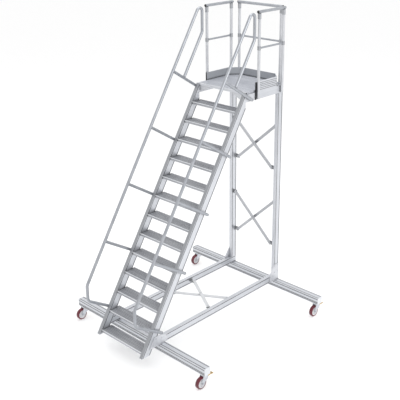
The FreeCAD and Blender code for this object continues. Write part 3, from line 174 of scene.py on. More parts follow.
# share of the second tone over the first; 6 and 7 are the Mix node's colour sockets
def mixTone(tree, share, first, second, blend="MIX"):
    values = {0: share}
    for key, tone in ((6, first), (7, second)):
        values[key] = (*tone, 1.0) if isinstance(tone, tuple) else tone
    return makeNode(tree, "Mix", values, data_type="RGBA", blend_type=blend).outputs[2]


# takes the band's ends to the two given values, and holds them beyond it
def remap(tree, value, band, toLow=0.0, toHigh=1.0):
    return makeNode(tree, "MapRange", {0: value, 1: band[0], 2: band[1], 3: toLow, 4: toHigh}).outputs[0]


# noise, with its grain stretched along an axis of the turned place
def cloud(tree, place, scale, detail, stretch=None, turn=(0.0, 0.0, 0.0)):
    if stretch is not None:
        turned = makeNode(tree, "Mapping", {"Vector": place, "Rotation": turn}).outputs[0]
        place = makeNode(tree, "Mapping", {"Vector": turned, "Scale": stretch}).outputs[0]
    return makeNode(tree, "TexNoise", {"Vector": place, "Scale": scale, "Detail": detail}).outputs["Fac"]


shading = {
    "edgeBand": (0.985, 0.80),  # likeness of the rounded and the true normal, from flat to a sharp edge
    "edgeSamples": 4,
    "hollowSamples": 6,
}


# 0 on a flat face, rising to 1 where a rounded normal leaves the true one
def edgeShare(tree, width):
    rounded = makeNode(tree, "Bevel", {"Radius": width}, samples=shading["edgeSamples"]).outputs[0]
    true = makeNode(tree, "NewGeometry").outputs["True Normal"]
    likeness = makeNode(tree, "VectorMath", {0: rounded, 1: true}, operation="DOT_PRODUCT").outputs["Value"]
    return remap(tree, likeness, shading["edgeBand"])


# 1 in the open, falling towards 0 deep in a groove or corner; painted shade is taken from it
def shadeOpenness(tree, reach):
    samples = shading["hollowSamples"]
    return makeNode(tree, "AmbientOcclusion", {"Distance": reach}, samples=samples).outputs["AO"]


# the x, y and z of the face's normal
def normalParts(tree):
    return makeNode(tree, "SeparateXYZ", {0: makeNode(tree, "NewGeometry").outputs["Normal"]}).outputs


metalLook = {
    "cloudScale": 2.4,
    "streakScale": 38.0,
    "scratchScale": 150.0,
    "detail": 4.0,
    "scratchDetail": 2.0,
    "streakShare": 0.6,
    "cloudShare": 0.4,
    "toneBand": (0.35, 0.65),
    "edgeWidth": 0.0016,
    "edgeGain": 0.5,
    "edgeBright": 1.12,
    "edgeLift": 0.04,
    "edgeGloss": 0.08,
    "hollowReach": 0.03,
    "hollowBand": (0.25, 0.95),
    "hollowDepth": 0.55,
    "hollowFloor": 0.30,
    "glossBand": (0.3, 0.7),
    "streakHeight": 0.7,
    "scratchHeight": 0.3,
    "bumpDistance": 0.0006,
}


# drawn metal: streaks along the grain and faint clouds, bright worn edges, and painted shade in hollows and
# corners
def metalFinish(name, tones, roughness, metallic, grain=(1.0, 1.0, 1.0), turn=(0.0, 0.0, 0.0),
                streaks=0.12, bump=0.12, toneOf=None, hollowDepth=metalLook["hollowDepth"]):
    look = metalLook
    tone, shade = tones
    material, tree, shader, place = startFinish(name)
    streak = cloud(tree, place, look["streakScale"], look["detail"], grain, turn)
    scratch = cloud(tree, place, look["scratchScale"], look["scratchDetail"], grain, turn)
    patch = cloud(tree, place, look["cloudScale"], look["detail"])
    streakPart = mathStep(tree, "MULTIPLY", streak, look["streakShare"])
    cloudPart = mathStep(tree, "MULTIPLY", patch, look["cloudShare"])
    share = remap(tree, mathStep(tree, "ADD", streakPart, cloudPart), look["toneBand"])
    colour = mixTone(tree, share, shade, tone)
    if toneOf is not None:
        colour = toneOf(tree, place, colour)
    edge = edgeShare(tree, look["edgeWidth"])
    bright = tuple(min(1.0, part * look["edgeBright"] + look["edgeLift"]) for part in tone)
    colour = mixTone(tree, mathStep(tree, "MULTIPLY", edge, look["edgeGain"]), colour, bright)
    # painted shade: the colour is darkened where a groove or corner is closed in, no lower than the floor
    paintedHollowShade = remap(tree, shadeOpenness(tree, look["hollowReach"]), look["hollowBand"], hollowDepth, 1.0)
    paintedHollowShade = mathStep(tree, "MAXIMUM", paintedHollowShade, look["hollowFloor"])
    tree.links.new(mixTone(tree, 1.0, colour, paintedHollowShade, "MULTIPLY"), shader.inputs["Base Color"])
    dull = remap(tree, streak, look["glossBand"], roughness - streaks / 2, roughness + streaks / 2)
    gloss = mathStep(tree, "MULTIPLY", edge, look["edgeGloss"])
    tree.links.new(mathStep(tree, "SUBTRACT", dull, gloss, clamp=True), shader.inputs["Roughness"])
    shader.inputs["Metallic"].default_value = metallic
    streakRise = mathStep(tree, "MULTIPLY", streak, look["streakHeight"])
    scratchRise = mathStep(tree, "MULTIPLY", scratch, look["scratchHeight"])
    height = mathStep(tree, "ADD", streakRise, scratchRise)
    values = {"Strength": bump, "Distance": look["bumpDistance"], "Height": height}
    tree.links.new(makeNode(tree, "Bump", values).outputs[0], shader.inputs["Normal"])
    return material


plasticLook = {
    "cloudScale": 9.0,
    "detail": 4.0,
    "grainDetail": 2.0,
    "cloudBand": (0.3, 0.7),
    "edgeWidth": 0.0012,
    "edgeGain": 0.45,
    "edgeBright": 1.35,
    "edgeLift": 0.02,
    "glossBand": (0.3, 0.7),
    "glossSpread": 0.07,
    "bumpDistance": 0.0004,
}


# moulded skin: fine leathery grain, faint clouds, paler rubbed edges
def plasticFinish(name, tones, roughness, bump=0.15, grainScale=420.0, coat=0.0):
    look = plasticLook
    tone, shade = tones
    spread = look["glossSpread"]
    material, tree, shader, place = startFinish(name)
    fine = cloud(tree, place, grainScale, look["grainDetail"])
    patch = cloud(tree, place, look["cloudScale"], look["detail"])
    colour = mixTone(tree, remap(tree, patch, look["cloudBand"]), shade, tone)
    edge = edgeShare(tree, look["edgeWidth"])
    pale = tuple(min(1.0, part * look["edgeBright"] + look["edgeLift"]) for part in tone)
    colour = mixTone(tree, mathStep(tree, "MULTIPLY", edge, look["edgeGain"]), colour, pale)
    tree.links.new(colour, shader.inputs["Base Color"])
    dull = remap(tree, fine, look["glossBand"], roughness - spread, roughness + spread)
    tree.links.new(dull, shader.inputs["Roughness"])
    values = {"Strength": bump, "Distance": look["bumpDistance"], "Height": fine}
    tree.links.new(makeNode(tree, "Bump", values).outputs[0], shader.inputs["Normal"])
    shader.inputs["Coat Weight"].default_value = coat
    return material


stair = {
    "noseY": -1.334,
    "noseZ": 0.275,
    "rise": 0.235,
    "run": 0.149,
    "treadCount": 13,
    "stringerDepth": 0.12,
}
slopeLength = math.hypot(stair["rise"], stair["run"])
slopeCos = stair["run"] / slopeLength
slopeSin = stair["rise"] / slopeLength
slopeWay = np.array([0.0, slopeCos, slopeSin])
slopeIn = np.array([0.0, slopeSin, -slopeCos])
slopeTurn = math.atan2(stair["rise"], stair["run"])
stairFoot = np.array([0.0, stair["noseY"], stair["noseZ"]])

treadHighlightAndShade = {
    "stripBand": (0.0030, 0.0045),
    "stripTone": (0.86, 0.88, 0.90),
    "reach": 0.28,
    "reachBand": (0.30, 0.85),
    "deepest": 0.50,
}


# painted highlight and shade: a point lies y less z over the slope behind its tread's front edge; the strip
# there is painted paler as a highlight, and the tread is painted darker where it is closed in
def noseHighlightAndShade(tree, place, colour):
    parts = makeNode(tree, "SeparateXYZ", {0: place}).outputs
    runPerRise = stair["run"] / stair["rise"]
    lean = mathStep(tree, "MULTIPLY", parts["Z"], runPerRise)
    offset = stair["noseZ"] * runPerRise - stair["noseY"]
    behind = mathStep(tree, "ADD", mathStep(tree, "SUBTRACT", parts["Y"], lean), offset)
    # painted highlight along the tread's front edge
    strip = remap(tree, behind, treadHighlightAndShade["stripBand"], 1.0, 0.0)
    # painted shade where the next tread and the stringers close the tread in
    openness = shadeOpenness(tree, treadHighlightAndShade["reach"])
    paintedReachShade = remap(tree, openness, treadHighlightAndShade["reachBand"], treadHighlightAndShade["deepest"], 1.0)
    return mixTone(tree, strip, mixTone(tree, 1.0, colour, paintedReachShade, "MULTIPLY"), treadHighlightAndShade["stripTone"])


innerFaceShade = {
    "middleY": 1.05,
    "turnBand": (0.10, 0.20),
    "tone": (0.42, 0.435, 0.46),
}


# painted shade: faces that look at the middle of the platform are darker: normal times place, x and y added,
# turned round
def paintedInnerShade(tree, place, colour):
    normal = normalParts(tree)
    parts = makeNode(tree, "SeparateXYZ", {0: place}).outputs
    fromMiddle = mathStep(tree, "SUBTRACT", parts["Y"], innerFaceShade["middleY"])
    sideways = mathStep(tree, "MULTIPLY", normal["X"], parts["X"])
    lengthways = mathStep(tree, "MULTIPLY", normal["Y"], fromMiddle)
    inwards = mathStep(tree, "MULTIPLY", mathStep(tree, "ADD", sideways, lengthways), -1.0)
    return mixTone(tree, remap(tree, inwards, innerFaceShade["turnBand"]), colour, innerFaceShade["tone"])


narrowFaceShade = {
    "turnBand": (0.4, 0.6),
    "tone": (0.34, 0.35, 0.37),
}


# painted shade: the narrow faces, which don't look to the side, are darker
def paintedNarrowShade(tree, place, colour):
    sideways = mathStep(tree, "ABSOLUTE", normalParts(tree)["X"])
    return mixTone(tree, remap(tree, sideways, narrowFaceShade["turnBand"], 1.0, 0.0), colour, narrowFaceShade["tone"])


# each pair is the full tone and the shade between which a finish varies
tones = {
    "pale": ((0.66, 0.675, 0.71), (0.57, 0.585, 0.62)),
    "plate": ((0.70, 0.71, 0.74), (0.58, 0.59, 0.62)),
    "tube": ((0.43, 0.445, 0.475), (0.34, 0.355, 0.385)),
    "guardTube": ((0.62, 0.63, 0.655), (0.53, 0.54, 0.565)),
    "collar": ((0.42, 0.43, 0.45), (0.33, 0.34, 0.36)),
    "brace": ((0.52, 0.53, 0.555), (0.42, 0.43, 0.455)),
    "paleBrace": ((0.72, 0.73, 0.75), (0.62, 0.63, 0.65)),
    "tread": ((0.52, 0.53, 0.56), (0.32, 0.33, 0.36)),
    "deck": ((0.52, 0.535, 0.575), (0.33, 0.345, 0.385)),
    "zinc": ((0.64, 0.66, 0.70), (0.46, 0.48, 0.53)),
    "bracket": ((0.40, 0.41, 0.43), (0.28, 0.29, 0.305)),
    "brass": ((0.66, 0.47, 0.20), (0.46, 0.31, 0.12)),
    "weld": ((0.60, 0.61, 0.63), (0.38, 0.39, 0.41)),
    "black": ((0.022, 0.022, 0.025), (0.012, 0.012, 0.014)),
    # the slot strips' dark tone is painted shade for the open slots; the platform's edge strips share it
    "strip": ((0.016, 0.017, 0.019), (0.009, 0.009, 0.011)),
    "endCap": ((0.70, 0.72, 0.75), (0.62, 0.64, 0.67)),
    "knob": ((0.20, 0.205, 0.22), (0.14, 0.145, 0.155)),
    "tyre": ((0.135, 0.011, 0.024), (0.09, 0.007, 0.016)),
    "wheel": ((0.74, 0.74, 0.75), (0.62, 0.62, 0.64)),
    "seal": ((0.035, 0.035, 0.038), (0.02, 0.02, 0.022)),
}

grainX = (0.03, 1.0, 1.0)
grainY = (1.0, 0.03, 1.0)
grainZ = (1.0, 1.0, 0.03)
slopeTilt = (-slopeTurn, 0.0, 0.0)

# after the tones come roughness and metallic, or a plastic's roughness
finishes = {
    # painted shade on the stringers' narrow faces
    "stringer": metalFinish("stringerAluminium", tones["pale"], 0.42, 0.75, grainY, slopeTilt,
                            toneOf=paintedNarrowShade),
    "post": metalFinish("postAluminium", tones["pale"], 0.42, 0.75, grainZ),
    "beam": metalFinish("beamAluminium", tones["pale"], 0.42, 0.75, grainY),
    "traverse": metalFinish("traverseAluminium", tones["pale"], 0.42, 0.75, grainX),
    "plate": metalFinish("plateAluminium", tones["plate"], 0.48, 0.75, streaks=0.1),
    "tube": metalFinish("tubeAluminium", tones["tube"], 0.36, 0.8, (1.0, 0.5, 0.25)),
    "guardTube": metalFinish("guardAluminium", tones["guardTube"], 0.36, 0.7, (1.0, 1.0, 0.25)),
    "collar": metalFinish("collarAluminium", tones["collar"], 0.4, 0.7),
    "brace": metalFinish("braceAluminium", tones["brace"], 0.42, 0.75, (0.2, 1.0, 0.2), hollowDepth=0.35),
    "paleBrace": metalFinish("paleBraceAluminium", tones["paleBrace"], 0.42, 0.6, (0.2, 0.2, 1.0),
                             hollowDepth=0.3),
    # painted highlight on the treads' front edges and painted shade where they are closed in; a depth below
    # nought paints their grooves darker still, down to the floor
    "tread": metalFinish("treadAluminium", tones["tread"], 0.5, 0.6, grainX, toneOf=noseHighlightAndShade,
                         hollowDepth=-0.3),
    "deck": metalFinish("deckAluminium", tones["deck"], 0.5, 0.6, grainX),
    # painted shade on the toe boards' inner faces; a depth below nought paints their grooves darker still,
    # down to the floor
    "toeBoard": metalFinish("toeBoardAluminium", tones["pale"], 0.45, 0.6, (0.05, 0.05, 1.0),
                            toneOf=paintedInnerShade, hollowDepth=-0.7),
    "zinc": metalFinish("zincSteel", tones["zinc"], 0.34, 0.9, streaks=0.2, bump=0.2),
    "bracket": metalFinish("bracketSteel", tones["bracket"], 0.45, 0.5, bump=0.25),
    "brass": metalFinish("pedalBrass", tones["brass"], 0.36, 0.85, streaks=0.2, bump=0.2),
    "weld": metalFinish("weldBead", tones["weld"], 0.4, 0.85, bump=0.3),
    "black": plasticFinish("capPlastic", tones["black"], 0.42),
    # painted shade: the dark finish of the strips laid in the open slots, also used on the platform's edge
    # strips
    "strip": plasticFinish("slotRubber", tones["strip"], 0.6, bump=0.2),
    "endCap": plasticFinish("endCapPlastic", tones["endCap"], 0.5),
    "knob": plasticFinish("knobPlastic", tones["knob"], 0.45),
    "tyre": plasticFinish("tyrePolyurethane", tones["tyre"], 0.36, bump=0.1, grainScale=300.0, coat=0.15),
    "wheel": plasticFinish("wheelNylon", tones["wheel"], 0.42, bump=0.12),
    "seal": plasticFinish("sealRubber", tones["seal"], 0.55, bump=0.2),
}

# by the start of a node's name; the longest start that fits is used
finishOf = {
    "stringer": "stringer",
    "rear_post": "post",
    "base_beam": "beam",
    "platform_side_beam": "beam",
    "front_traverse": "traverse",
    "rear_traverse": "traverse",
    "platform_nosing_profile": "traverse",
    "platform_rear_profile": "traverse",
    "joint_plates": "plate",
    "handrail": "tube",
    "guard": "tube",
    "guard_posts": "guardTube",
    "guard_collars": "collar",
    "guard_rail_caps": "black",
    "base_cross_brace": "paleBrace",
    "lower_cross_brace": "brace",
    "upper_cross_brace": "brace",
    "brace_brackets": "bracket",
    "tread": "tread",
    "platform_deck": "deck",
    "toe_boards": "toeBoard",
    "platform_edge_strips": "strip",
    "profile_end_caps": "endCap",
    "frame_bolts": "zinc",
    "castor_fork": "zinc",
    "castor_mounts": "zinc",
    "castor_pedal": "brass",
    "castor_tyre": "tyre",
    "castor_wheel": "wheel",
}
for nodeName, nodeObject in frame["nodes"].items():
    start = max((start for start in finishOf if nodeName.startswith(start)), key=len)
    nodeObject.data.materials.clear()
    nodeObject.data.materials.append(finishes[finishOf[start]])
print("finishes made:", len(finishes))


# painted shade: dark strips set into the profiles' slots stand in for the shade inside the open slots
slotShadeStrip = {
    "halfWidth": 0.0047,
    "floor": 0.0048,
    "edge": 0.0024,
    "crown": 0.0014,
    "crownSteps": 7,
    "inset": 0.013,
    "barInset": 0.018,
    "barSecond": 0.035,
    "endGap": 0.004,
}


# a flat-bottomed strip whose top is a low arch below the profile's face
def stripSection():
    half, floor, edge, crown = (slotShadeStrip[key] for key in ("halfWidth", "floor", "edge", "crown"))
    across = np.linspace(half, -half, slotShadeStrip["crownSteps"])
    arch = -edge + (edge - crown) * (1 - (across / half) ** 2)
    return [(-half, -floor), (half, -floor), *zip(across.tolist(), arch.tolist())]


# the low and high corners of a node's box
def cornersOf(name):
    return [np.array(corner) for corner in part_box(name)]


# along the slope, from the level cut at the foot to the upright cut at the top
def stringerStrips(name, section):
    low, high = cornersOf(name)
    inset, gap = slotShadeStrip["inset"], slotShadeStrip["endGap"]
    made = []
    for face, out in ((low[0], -1.0), (high[0], 1.0)):
        for inwards in (inset, stair["stringerDepth"] - inset):
            fromFoot = (low[2] - stair["noseZ"] + inwards * slopeCos) / slopeSin + gap
            toTop = (high[1] - stair["noseY"] - inwards * slopeSin) / slopeCos - gap
            base = stairFoot + np.array([face, 0.0, 0.0]) + inwards * slopeIn
            start, end = base + fromFoot * slopeWay, base + toTop * slopeWay
            made.append(carriedShape(section, start, end, slopeIn, (out, 0, 0)))
    return made


# straight up both side faces
def postStrips(name, section):
    low, high = cornersOf(name)
    inset, gap = slotShadeStrip["inset"], slotShadeStrip["endGap"]
    made = []
    for face, out in ((low[0], -1.0), (high[0], 1.0)):
        for y in (low[1] + inset, high[1] - inset):
            start, end = (face, y, low[2] + gap), (face, y, high[2] - gap)
            made.append(carriedShape(section, start, end, (0, 1, 0), (out, 0, 0)))
    return made


# level, along both side faces; the front end leans back with the stair's slope
def beamStrips(name, section):
    low, high = cornersOf(name)
    inset, gap = slotShadeStrip["inset"], slotShadeStrip["endGap"]
    made = []
    for face, out in ((low[0], -1.0), (high[0], 1.0)):
        for z in (low[2] + inset, high[2] - inset):
            front = low[1] + (z - low[2]) * stair["run"] / stair["rise"] + 2 * gap
            start, end = (face, front, z), (face, high[1] - gap, z)
            made.append(carriedShape(section, start, end, (0, 0, 1), (out, 0, 0)))
    return made


# level, across the stairs: two on the top, two below and three on the front
def traverseStrips(name, section):
    low, high = cornersOf(name)
    inset, second, gap = (slotShadeStrip[key] for key in ("barInset", "barSecond", "endGap"))
    left, right = low[0] + gap, high[0] - gap
    made = []
    for face, out in ((low[2], -1.0), (high[2], 1.0)):
        for y in (low[1] + inset, high[1] - inset):
            made.append(carriedShape(section, (left, y, face), (right, y, face), (0, 1, 0), (0, 0, out)))
    for z in (low[2] + inset, low[2] + second, high[2] - inset):
        made.append(carriedShape(section, (left, low[1], z), (right, low[1], z), (0, 0, 1), (0, -1.0, 0)))
    return made


def slotStrips():
    section = stripSection()
    kinds = (
        (stringerStrips, ("stringer_left", "stringer_right")),
        (postStrips, ("rear_post_left", "rear_post_right")),
        (beamStrips, ("base_beam_left", "base_beam_right")),
        (traverseStrips, ("front_traverse", "rear_traverse")),
    )
    return [strip for stripsOf, names in kinds for name in names for strip in stripsOf(name, section)]


# the dark strips are painted shade in the slots
putPiece("slotStrips", slotStrips(), "frame", finishes["strip"])
print("slot strips made")


deckPlanks = {
    "count": 5,
    "seam": 0.0022,
    "ribPitch": 0.0105,
    "ribHeight": 0.0014,
    "ribSteps": 8,
    "fewestRibs": 3,
    "steepness": 1.7,
    "trough": 0.2,
    "base": 0.0006,
    "margin": 0.0016,
}


# a rib's height is a cosine along y, steepened and cut flat above and below, carried across the platform
def plankShape(left, right, front, back, top):
    ribs = max(deckPlanks["fewestRibs"], round((back - front) / deckPlanks["ribPitch"]))
    y = np.linspace(front, back, ribs * deckPlanks["ribSteps"] + 1)
    wave = 0.5 - 0.5 * np.cos((y - front) / (back - front) * ribs * 2 * np.pi)
    share = np.clip(wave * deckPlanks["steepness"] - deckPlanks["trough"], 0, 1)
    height = top + deckPlanks["base"] + deckPlanks["ribHeight"] * share
    rows = []
    for x, lift in ((left, 0.0), (left, 1.0), (right, 1.0), (right, 0.0)):
        rows.append(np.stack([0 * y + x, y, top + lift * (height - top)], -1))
    count = len(y)
    around = gridFaces(4, count)
    under = gridFaces(2, count)
    under = np.where(under >= count, under + 2 * count, under)  # joins the last row to the first
    ends = np.array([[0, 1, 2, 3]]) * count
    faces = np.concatenate([around, under[:, ::-1], ends, ends[:, ::-1] + count - 1])
    return np.stack(rows).reshape(-1, 3), faces


def platformPlanks():
    low, high = cornersOf("platform_deck")
    margin = deckPlanks["margin"]
    edges = np.linspace(low[1] + margin, high[1] - margin, deckPlanks["count"] + 1)
    half = deckPlanks["seam"] / 2
    left, right = low[0] + margin, high[0] - margin
    made = []
    for front, back in zip(edges[:-1], edges[1:]):
        made.append(plankShape(left, right, front + half, back - half, high[2]))
    return made


putPiece("deckPlanks", platformPlanks(), "frame", finishes["deck"], pieceMesh["ribTurn"])
print("deck planks made")


stitchWeld = {
    "length": 0.034,
    "radius": 0.0038,
    "ripples": 9,
    "rippleSteps": 4,
    "rippleShare": 0.10,
    "bluntness": 8,
    "roundSteps": 8,
    "places": (0.022, 0.078, 0.140),
    "below": 0.0042,
    "inside": 0.3997,
}


# the radius swells and falls as a sine along the bead, and a high power closes it at both ends
def stitchBead():
    ripples = stitchWeld["ripples"]
    along = np.linspace(0, 1, ripples * stitchWeld["rippleSteps"] + 1)
    closing = np.sqrt(np.clip(1 - (2 * along - 1) ** stitchWeld["bluntness"], 0, 1))
    ripple = 1 + stitchWeld["rippleShare"] * np.sin(along * ripples * 2 * np.pi)
    outline = np.stack([(along - 0.5) * stitchWeld["length"], stitchWeld["radius"] * closing * ripple], -1)
    return placed(roundShape(outline, stitchWeld["roundSteps"]), (0, 0, 0), axesAlong((0, 1, 0), (1, 0, 0)))


# under both ends of every tread, at three places behind its front edge
def treadStitches():
    count = np.arange(stair["treadCount"])
    number, place, side = np.meshgrid(count, stitchWeld["places"], (-1.0, 1.0), indexing="ij")
    y = stair["noseY"] + number * stair["run"] + place
    z = stair["noseZ"] + number * stair["rise"] - stitchWeld["below"]
    centres = np.stack([side * stitchWeld["inside"], y, z], -1).reshape(-1, 3)
    return [copiesAt(stitchBead(), centres)]


blunt = pieceMesh["bluntTurn"]
putPiece("treadStitches", treadStitches(), "frame", finishes["weld"], blunt)

handrail = {
    "x": 0.4703,
    "offset": 0.492,
    "tube": 0.020,
    "first": 0.320,
    "pitch": 0.815,
    "count": 4,
    "bead": 0.0032,
    "beadSteps": 8,
    "saddleSteps": 72,
    "fit": 0.992,
    "lean": 0.5,
    "ripples": 18,
    "rippleShare": 0.12,
}


# the line where two tubes cross: as turn goes round the support, the rise is the root of
# the tube's radius squared less the sideways part squared; a rippled bead runs along it
def saddleBead():
    steps, sides, tube = handrail["saddleSteps"], handrail["beadSteps"], handrail["tube"]
    turn = np.arange(steps) * 2 * np.pi / steps
    inner = tube * handrail["fit"]
    rise = np.sqrt(tube ** 2 - (inner * np.sin(turn)) ** 2)
    line = np.stack([rise, inner * np.cos(turn), inner * np.sin(turn)], -1)
    outwards = np.stack([0 * turn + handrail["lean"], np.cos(turn), np.sin(turn)], -1)
    outwards = outwards / np.linalg.norm(outwards, axis=1)[:, None]
    around = np.arange(sides) * 2 * np.pi / sides
    ripple = handrail["bead"] * (1 + handrail["rippleShare"] * np.sin(turn * handrail["ripples"]))
    along = np.array([1.0, 0.0, 0.0])
    ring = np.cos(around)[None, :, None] * outwards[:, None, :] + np.sin(around)[None, :, None] * along
    points = line[:, None, :] + ripple[:, None, None] * ring
    points = np.concatenate([points, points[:1]])
    return points.reshape(-1, 3), gridFaces(steps + 1, sides, ring=True)


# one where each support meets its handrail; place 0 is the handrail's own foot and has none
def supportWelds():
    bead = placed(saddleBead(), (0, 0, 0), axesAlong(slopeIn, slopeWay))
    made = []
    for side in (-1.0, 1.0):
        for number in range(1, handrail["count"] + 1):
            along = handrail["first"] + number * handrail["pitch"]
            centre = stairFoot + along * slopeWay - handrail["offset"] * slopeIn
            made.append(placed(bead, centre + np.array([side * handrail["x"], 0, 0])))
    return made


putPiece("handrailWelds", supportWelds(), "frame", finishes["weld"], blunt)
print("welds made")


supportKnob = {
    "behind": 0.145,
    "steps": 32,
    "outline": ((-0.004, 0.0), (-0.004, 0.0170), (0.0, 0.0197), (0.006, 0.0199), (0.0105, 0.0187),
                (0.0145, 0.0152), (0.0168, 0.0100), (0.0178, 0.0045), (0.018, 0.0)),
}


# rounded ends behind the stringers, of the handrails' feet and of their supports
def supportKnobs():
    knob = roundShape(supportKnob["outline"], supportKnob["steps"])
    knob = placed(knob, (0, 0, 0), axesAlong(slopeIn, slopeWay))
    places = handrail["first"] + np.arange(handrail["count"] + 1) * handrail["pitch"]
    along, side = np.meshgrid(places, (-1.0, 1.0), indexing="ij")
    start = stairFoot + supportKnob["behind"] * slopeIn
    centres = start + along[..., None] * slopeWay + side[..., None] * np.array([handrail["x"], 0, 0])
    return [copiesAt(knob, centres.reshape(-1, 3))]


putPiece("supportKnobs", supportKnobs(), "frame", finishes["knob"])
print("support knobs made")


wheelRib = {
    "count": 8,
    "from": 0.020,
    "to": 0.0575,
    "half": 0.0024,
    "rise": (0.019, 0.0125),
    "core": 0.003,
    "rows": 6,
    "archSteps": 9,
    "roundness": 0.4,
}


# an arch across the rib's width, carried out from the hub while its rise falls towards the rim
def wheelRibs():
    out = np.linspace(wheelRib["from"], wheelRib["to"], wheelRib["rows"])
    rise = np.linspace(*wheelRib["rise"], wheelRib["rows"])[:, None]
    turn = np.linspace(0, np.pi, wheelRib["archSteps"])
    roundness, core = wheelRib["roundness"], wheelRib["core"]
    across = wheelRib["half"] * np.sign(np.cos(turn)) * np.abs(np.cos(turn)) ** roundness
    lift = core + np.sin(turn) ** roundness * (rise - core)
    section = np.stack([lift, 0 * lift + across, 0 * lift + out[:, None]], -1)
    middle = section.mean(1, keepdims=True) + 0 * section
    rows = np.concatenate([middle[:1], section, middle[-1:]])
    shape = rows.reshape(-1, 3), gridFaces(len(rows), len(turn), ring=True)
    made = []
    for angle in np.arange(wheelRib["count"]) * 2 * math.pi / wheelRib["count"]:
        radial = np.array([0.0, math.cos(angle), math.sin(angle)])
        for side in (1.0, -1.0):
            first = np.array([side, 0.0, 0.0])
            made.append(placed(shape, (0, 0, 0), np.array([first, np.cross(radial, first), radial])))
    return made


rimBead = {
    "out": 0.0228,
    "rise": 0.0013,
    "radius": 0.0592,
    "half": 0.0018,
    "ovalSteps": 12,
    "steps": 64,
}


# a thin raised ring on each side of the rim: an oval swung round the axle
def rimBeads():
    turn = np.linspace(0, 2 * np.pi, rimBead["ovalSteps"] + 1)
    radius = rimBead["radius"] + rimBead["half"] * np.sin(turn)
    made = []
    for side in (1.0, -1.0):
        along = side * (rimBead["out"] + rimBead["rise"] * np.cos(turn))
        made.append(roundShape(np.stack([along, radius], -1), rimBead["steps"]))
    return made


axleNut = {
    "forkFace": 0.0325,
    "flat": 0.0095,
    "steps": 48,
    "washer": ((0.0, 0.0), (0.0, 0.0122), (0.0003, 0.0126), (0.0013, 0.0126), (0.0016, 0.0122),
               (0.0016, 0.0)),
    "nut": ((0.0016, 0.0), (0.0016, 0.0105), (0.0021, 0.0112), (0.0078, 0.0112), (0.0086, 0.0098),
            (0.0086, 0.0078)),
    "domeFoot": 0.0086,
    "domeRise": 0.0052,
    "domeRadius": 0.0078,
    "domeStart": 0.1,
    "domeSteps": 7,
}


# a hexagon's radius is its flat over the cosine of the turn from the flat's middle, within the given limit
def hexagonRadius(limit, turn):
    folded = np.mod(turn, np.pi / 3) - np.pi / 6
    return np.minimum(axleNut["flat"] / np.cos(folded)[None, :] + 0 * limit, limit)


# at each end of the axle a washer, and a hexagon cut by a cone, with nearly a quarter of an oval on top
def axleNuts():
    turn = np.linspace(axleNut["domeStart"], math.pi / 2, axleNut["domeSteps"])
    rise = axleNut["domeFoot"] + axleNut["domeRise"] * np.sin(turn)
    dome = tuple(zip(rise.tolist(), (axleNut["domeRadius"] * np.cos(turn)).tolist()))
    made = []
    for side in (1.0, -1.0):
        axes = axesAlong((side, 0, 0), (0, 0, 1))
        face = (side * axleNut["forkFace"], 0, 0)
        made.append(placed(roundShape(axleNut["washer"], axleNut["steps"]), face, axes))
        made.append(placed(roundShape(axleNut["nut"] + dome, axleNut["steps"], hexagonRadius), face, axes))
    return made


swivelSeal = {
    "steps": 64,
    "outline": ((0.1772, 0.0300), (0.1772, 0.0322), (0.1795, 0.0334), (0.1825, 0.0320), (0.1855, 0.0334),
                (0.1888, 0.0324), (0.1888, 0.0300), (0.1772, 0.0300)),
}


# a soft lip ring between the plate's race and the fork's crown, swung round the upright
def swivelSeals():
    upright = np.array([[0.0, 0.0, 1.0], [1.0, 0.0, 0.0], [0.0, 1.0, 0.0]])
    return [placed(roundShape(swivelSeal["outline"], swivelSeal["steps"]), (0, 0, 0), upright)]


pedalBar = {
    "count": 6,
    "first": 0.080,
    "pitch": 0.0062,
    "length": 0.041,
    "half": 0.0017,
    "rise": 0.0011,
    "steps": 12,
    "padOut": (0.008, 0.0708, 0.118),
    "padUp": (0.008, 0.0064, -0.0048),
}


# low oval bars across the lever's pad, with their middles on the line of its upper face
def pedalBars():
    turn = np.arange(pedalBar["steps"]) * 2 * np.pi / pedalBar["steps"]
    section = np.stack([pedalBar["half"] * np.cos(turn), pedalBar["rise"] * np.sin(turn)], -1)
    half = pedalBar["length"] / 2
    made = []
    for y in pedalBar["first"] + np.arange(pedalBar["count"]) * pedalBar["pitch"]:
        z = float(np.interp(y, pedalBar["padOut"], pedalBar["padUp"]))
        made.append(carriedShape(section, (-half, y, z), (half, y, z), (0, 1, 0), (0, 0, 1)))
    return made


for corner in corners:
    wheelCentre = joints["wheel_spin_" + corner]
    swivel = joints["swivel_" + corner] * np.array([1.0, 1.0, 0.0])  # the seal's outline starts at the floor
    ribs = placedAll(wheelRibs() + rimBeads(), wheelCentre)
    nuts = placedAll(axleNuts(), wheelCentre)
    seal = placedAll(swivelSeals(), swivel)
    bars = placedAll(pedalBars(), joints["brake_pedal_" + corner])
    putPiece("wheelRibs_" + corner, ribs, "wheel_" + corner, finishes["wheel"])
    putPiece("axleNuts_" + corner, nuts, "fork_" + corner, finishes["zinc"])
    putPiece("swivelSeal_" + corner, seal, "frame", finishes["seal"])
    putPiece("pedalBars_" + corner, bars, "pedal_" + corner, finishes["brass"])
print("castor details made")


studio = {
    "floorRadius": 60.0,
    "floorRings": 7,
    "floorSteps": 96,
    "floorDrop": 0.0005,
    "floorTone": (0.985, 0.985, 0.985, 1.0),
    "floorRoughness": 0.95,
    "floorGloss": 0.1,
    "skyTone": (1.0, 1.0, 1.0, 1.0),
    "skyStrength": 1.0,
    "keyPower": 250.0,
    "keyPlace": (8.5, 0.5, 6.5),
    "keySize": 5.0,
    "fillPower": 210.0,
    "fillPlace": (-0.5, 1.5, 10.5),
    "fillSize": 5.0,
    "lampAim": (0.0, 0.0, 2.0),
    "cameraPlace": (6.7226, -6.713, 5.775),
    "cameraTurn": (70.69, 0.58, 44.04),
    "lens": 67.7,
    "sensor": 36.0,
    "shift": -0.10,
}


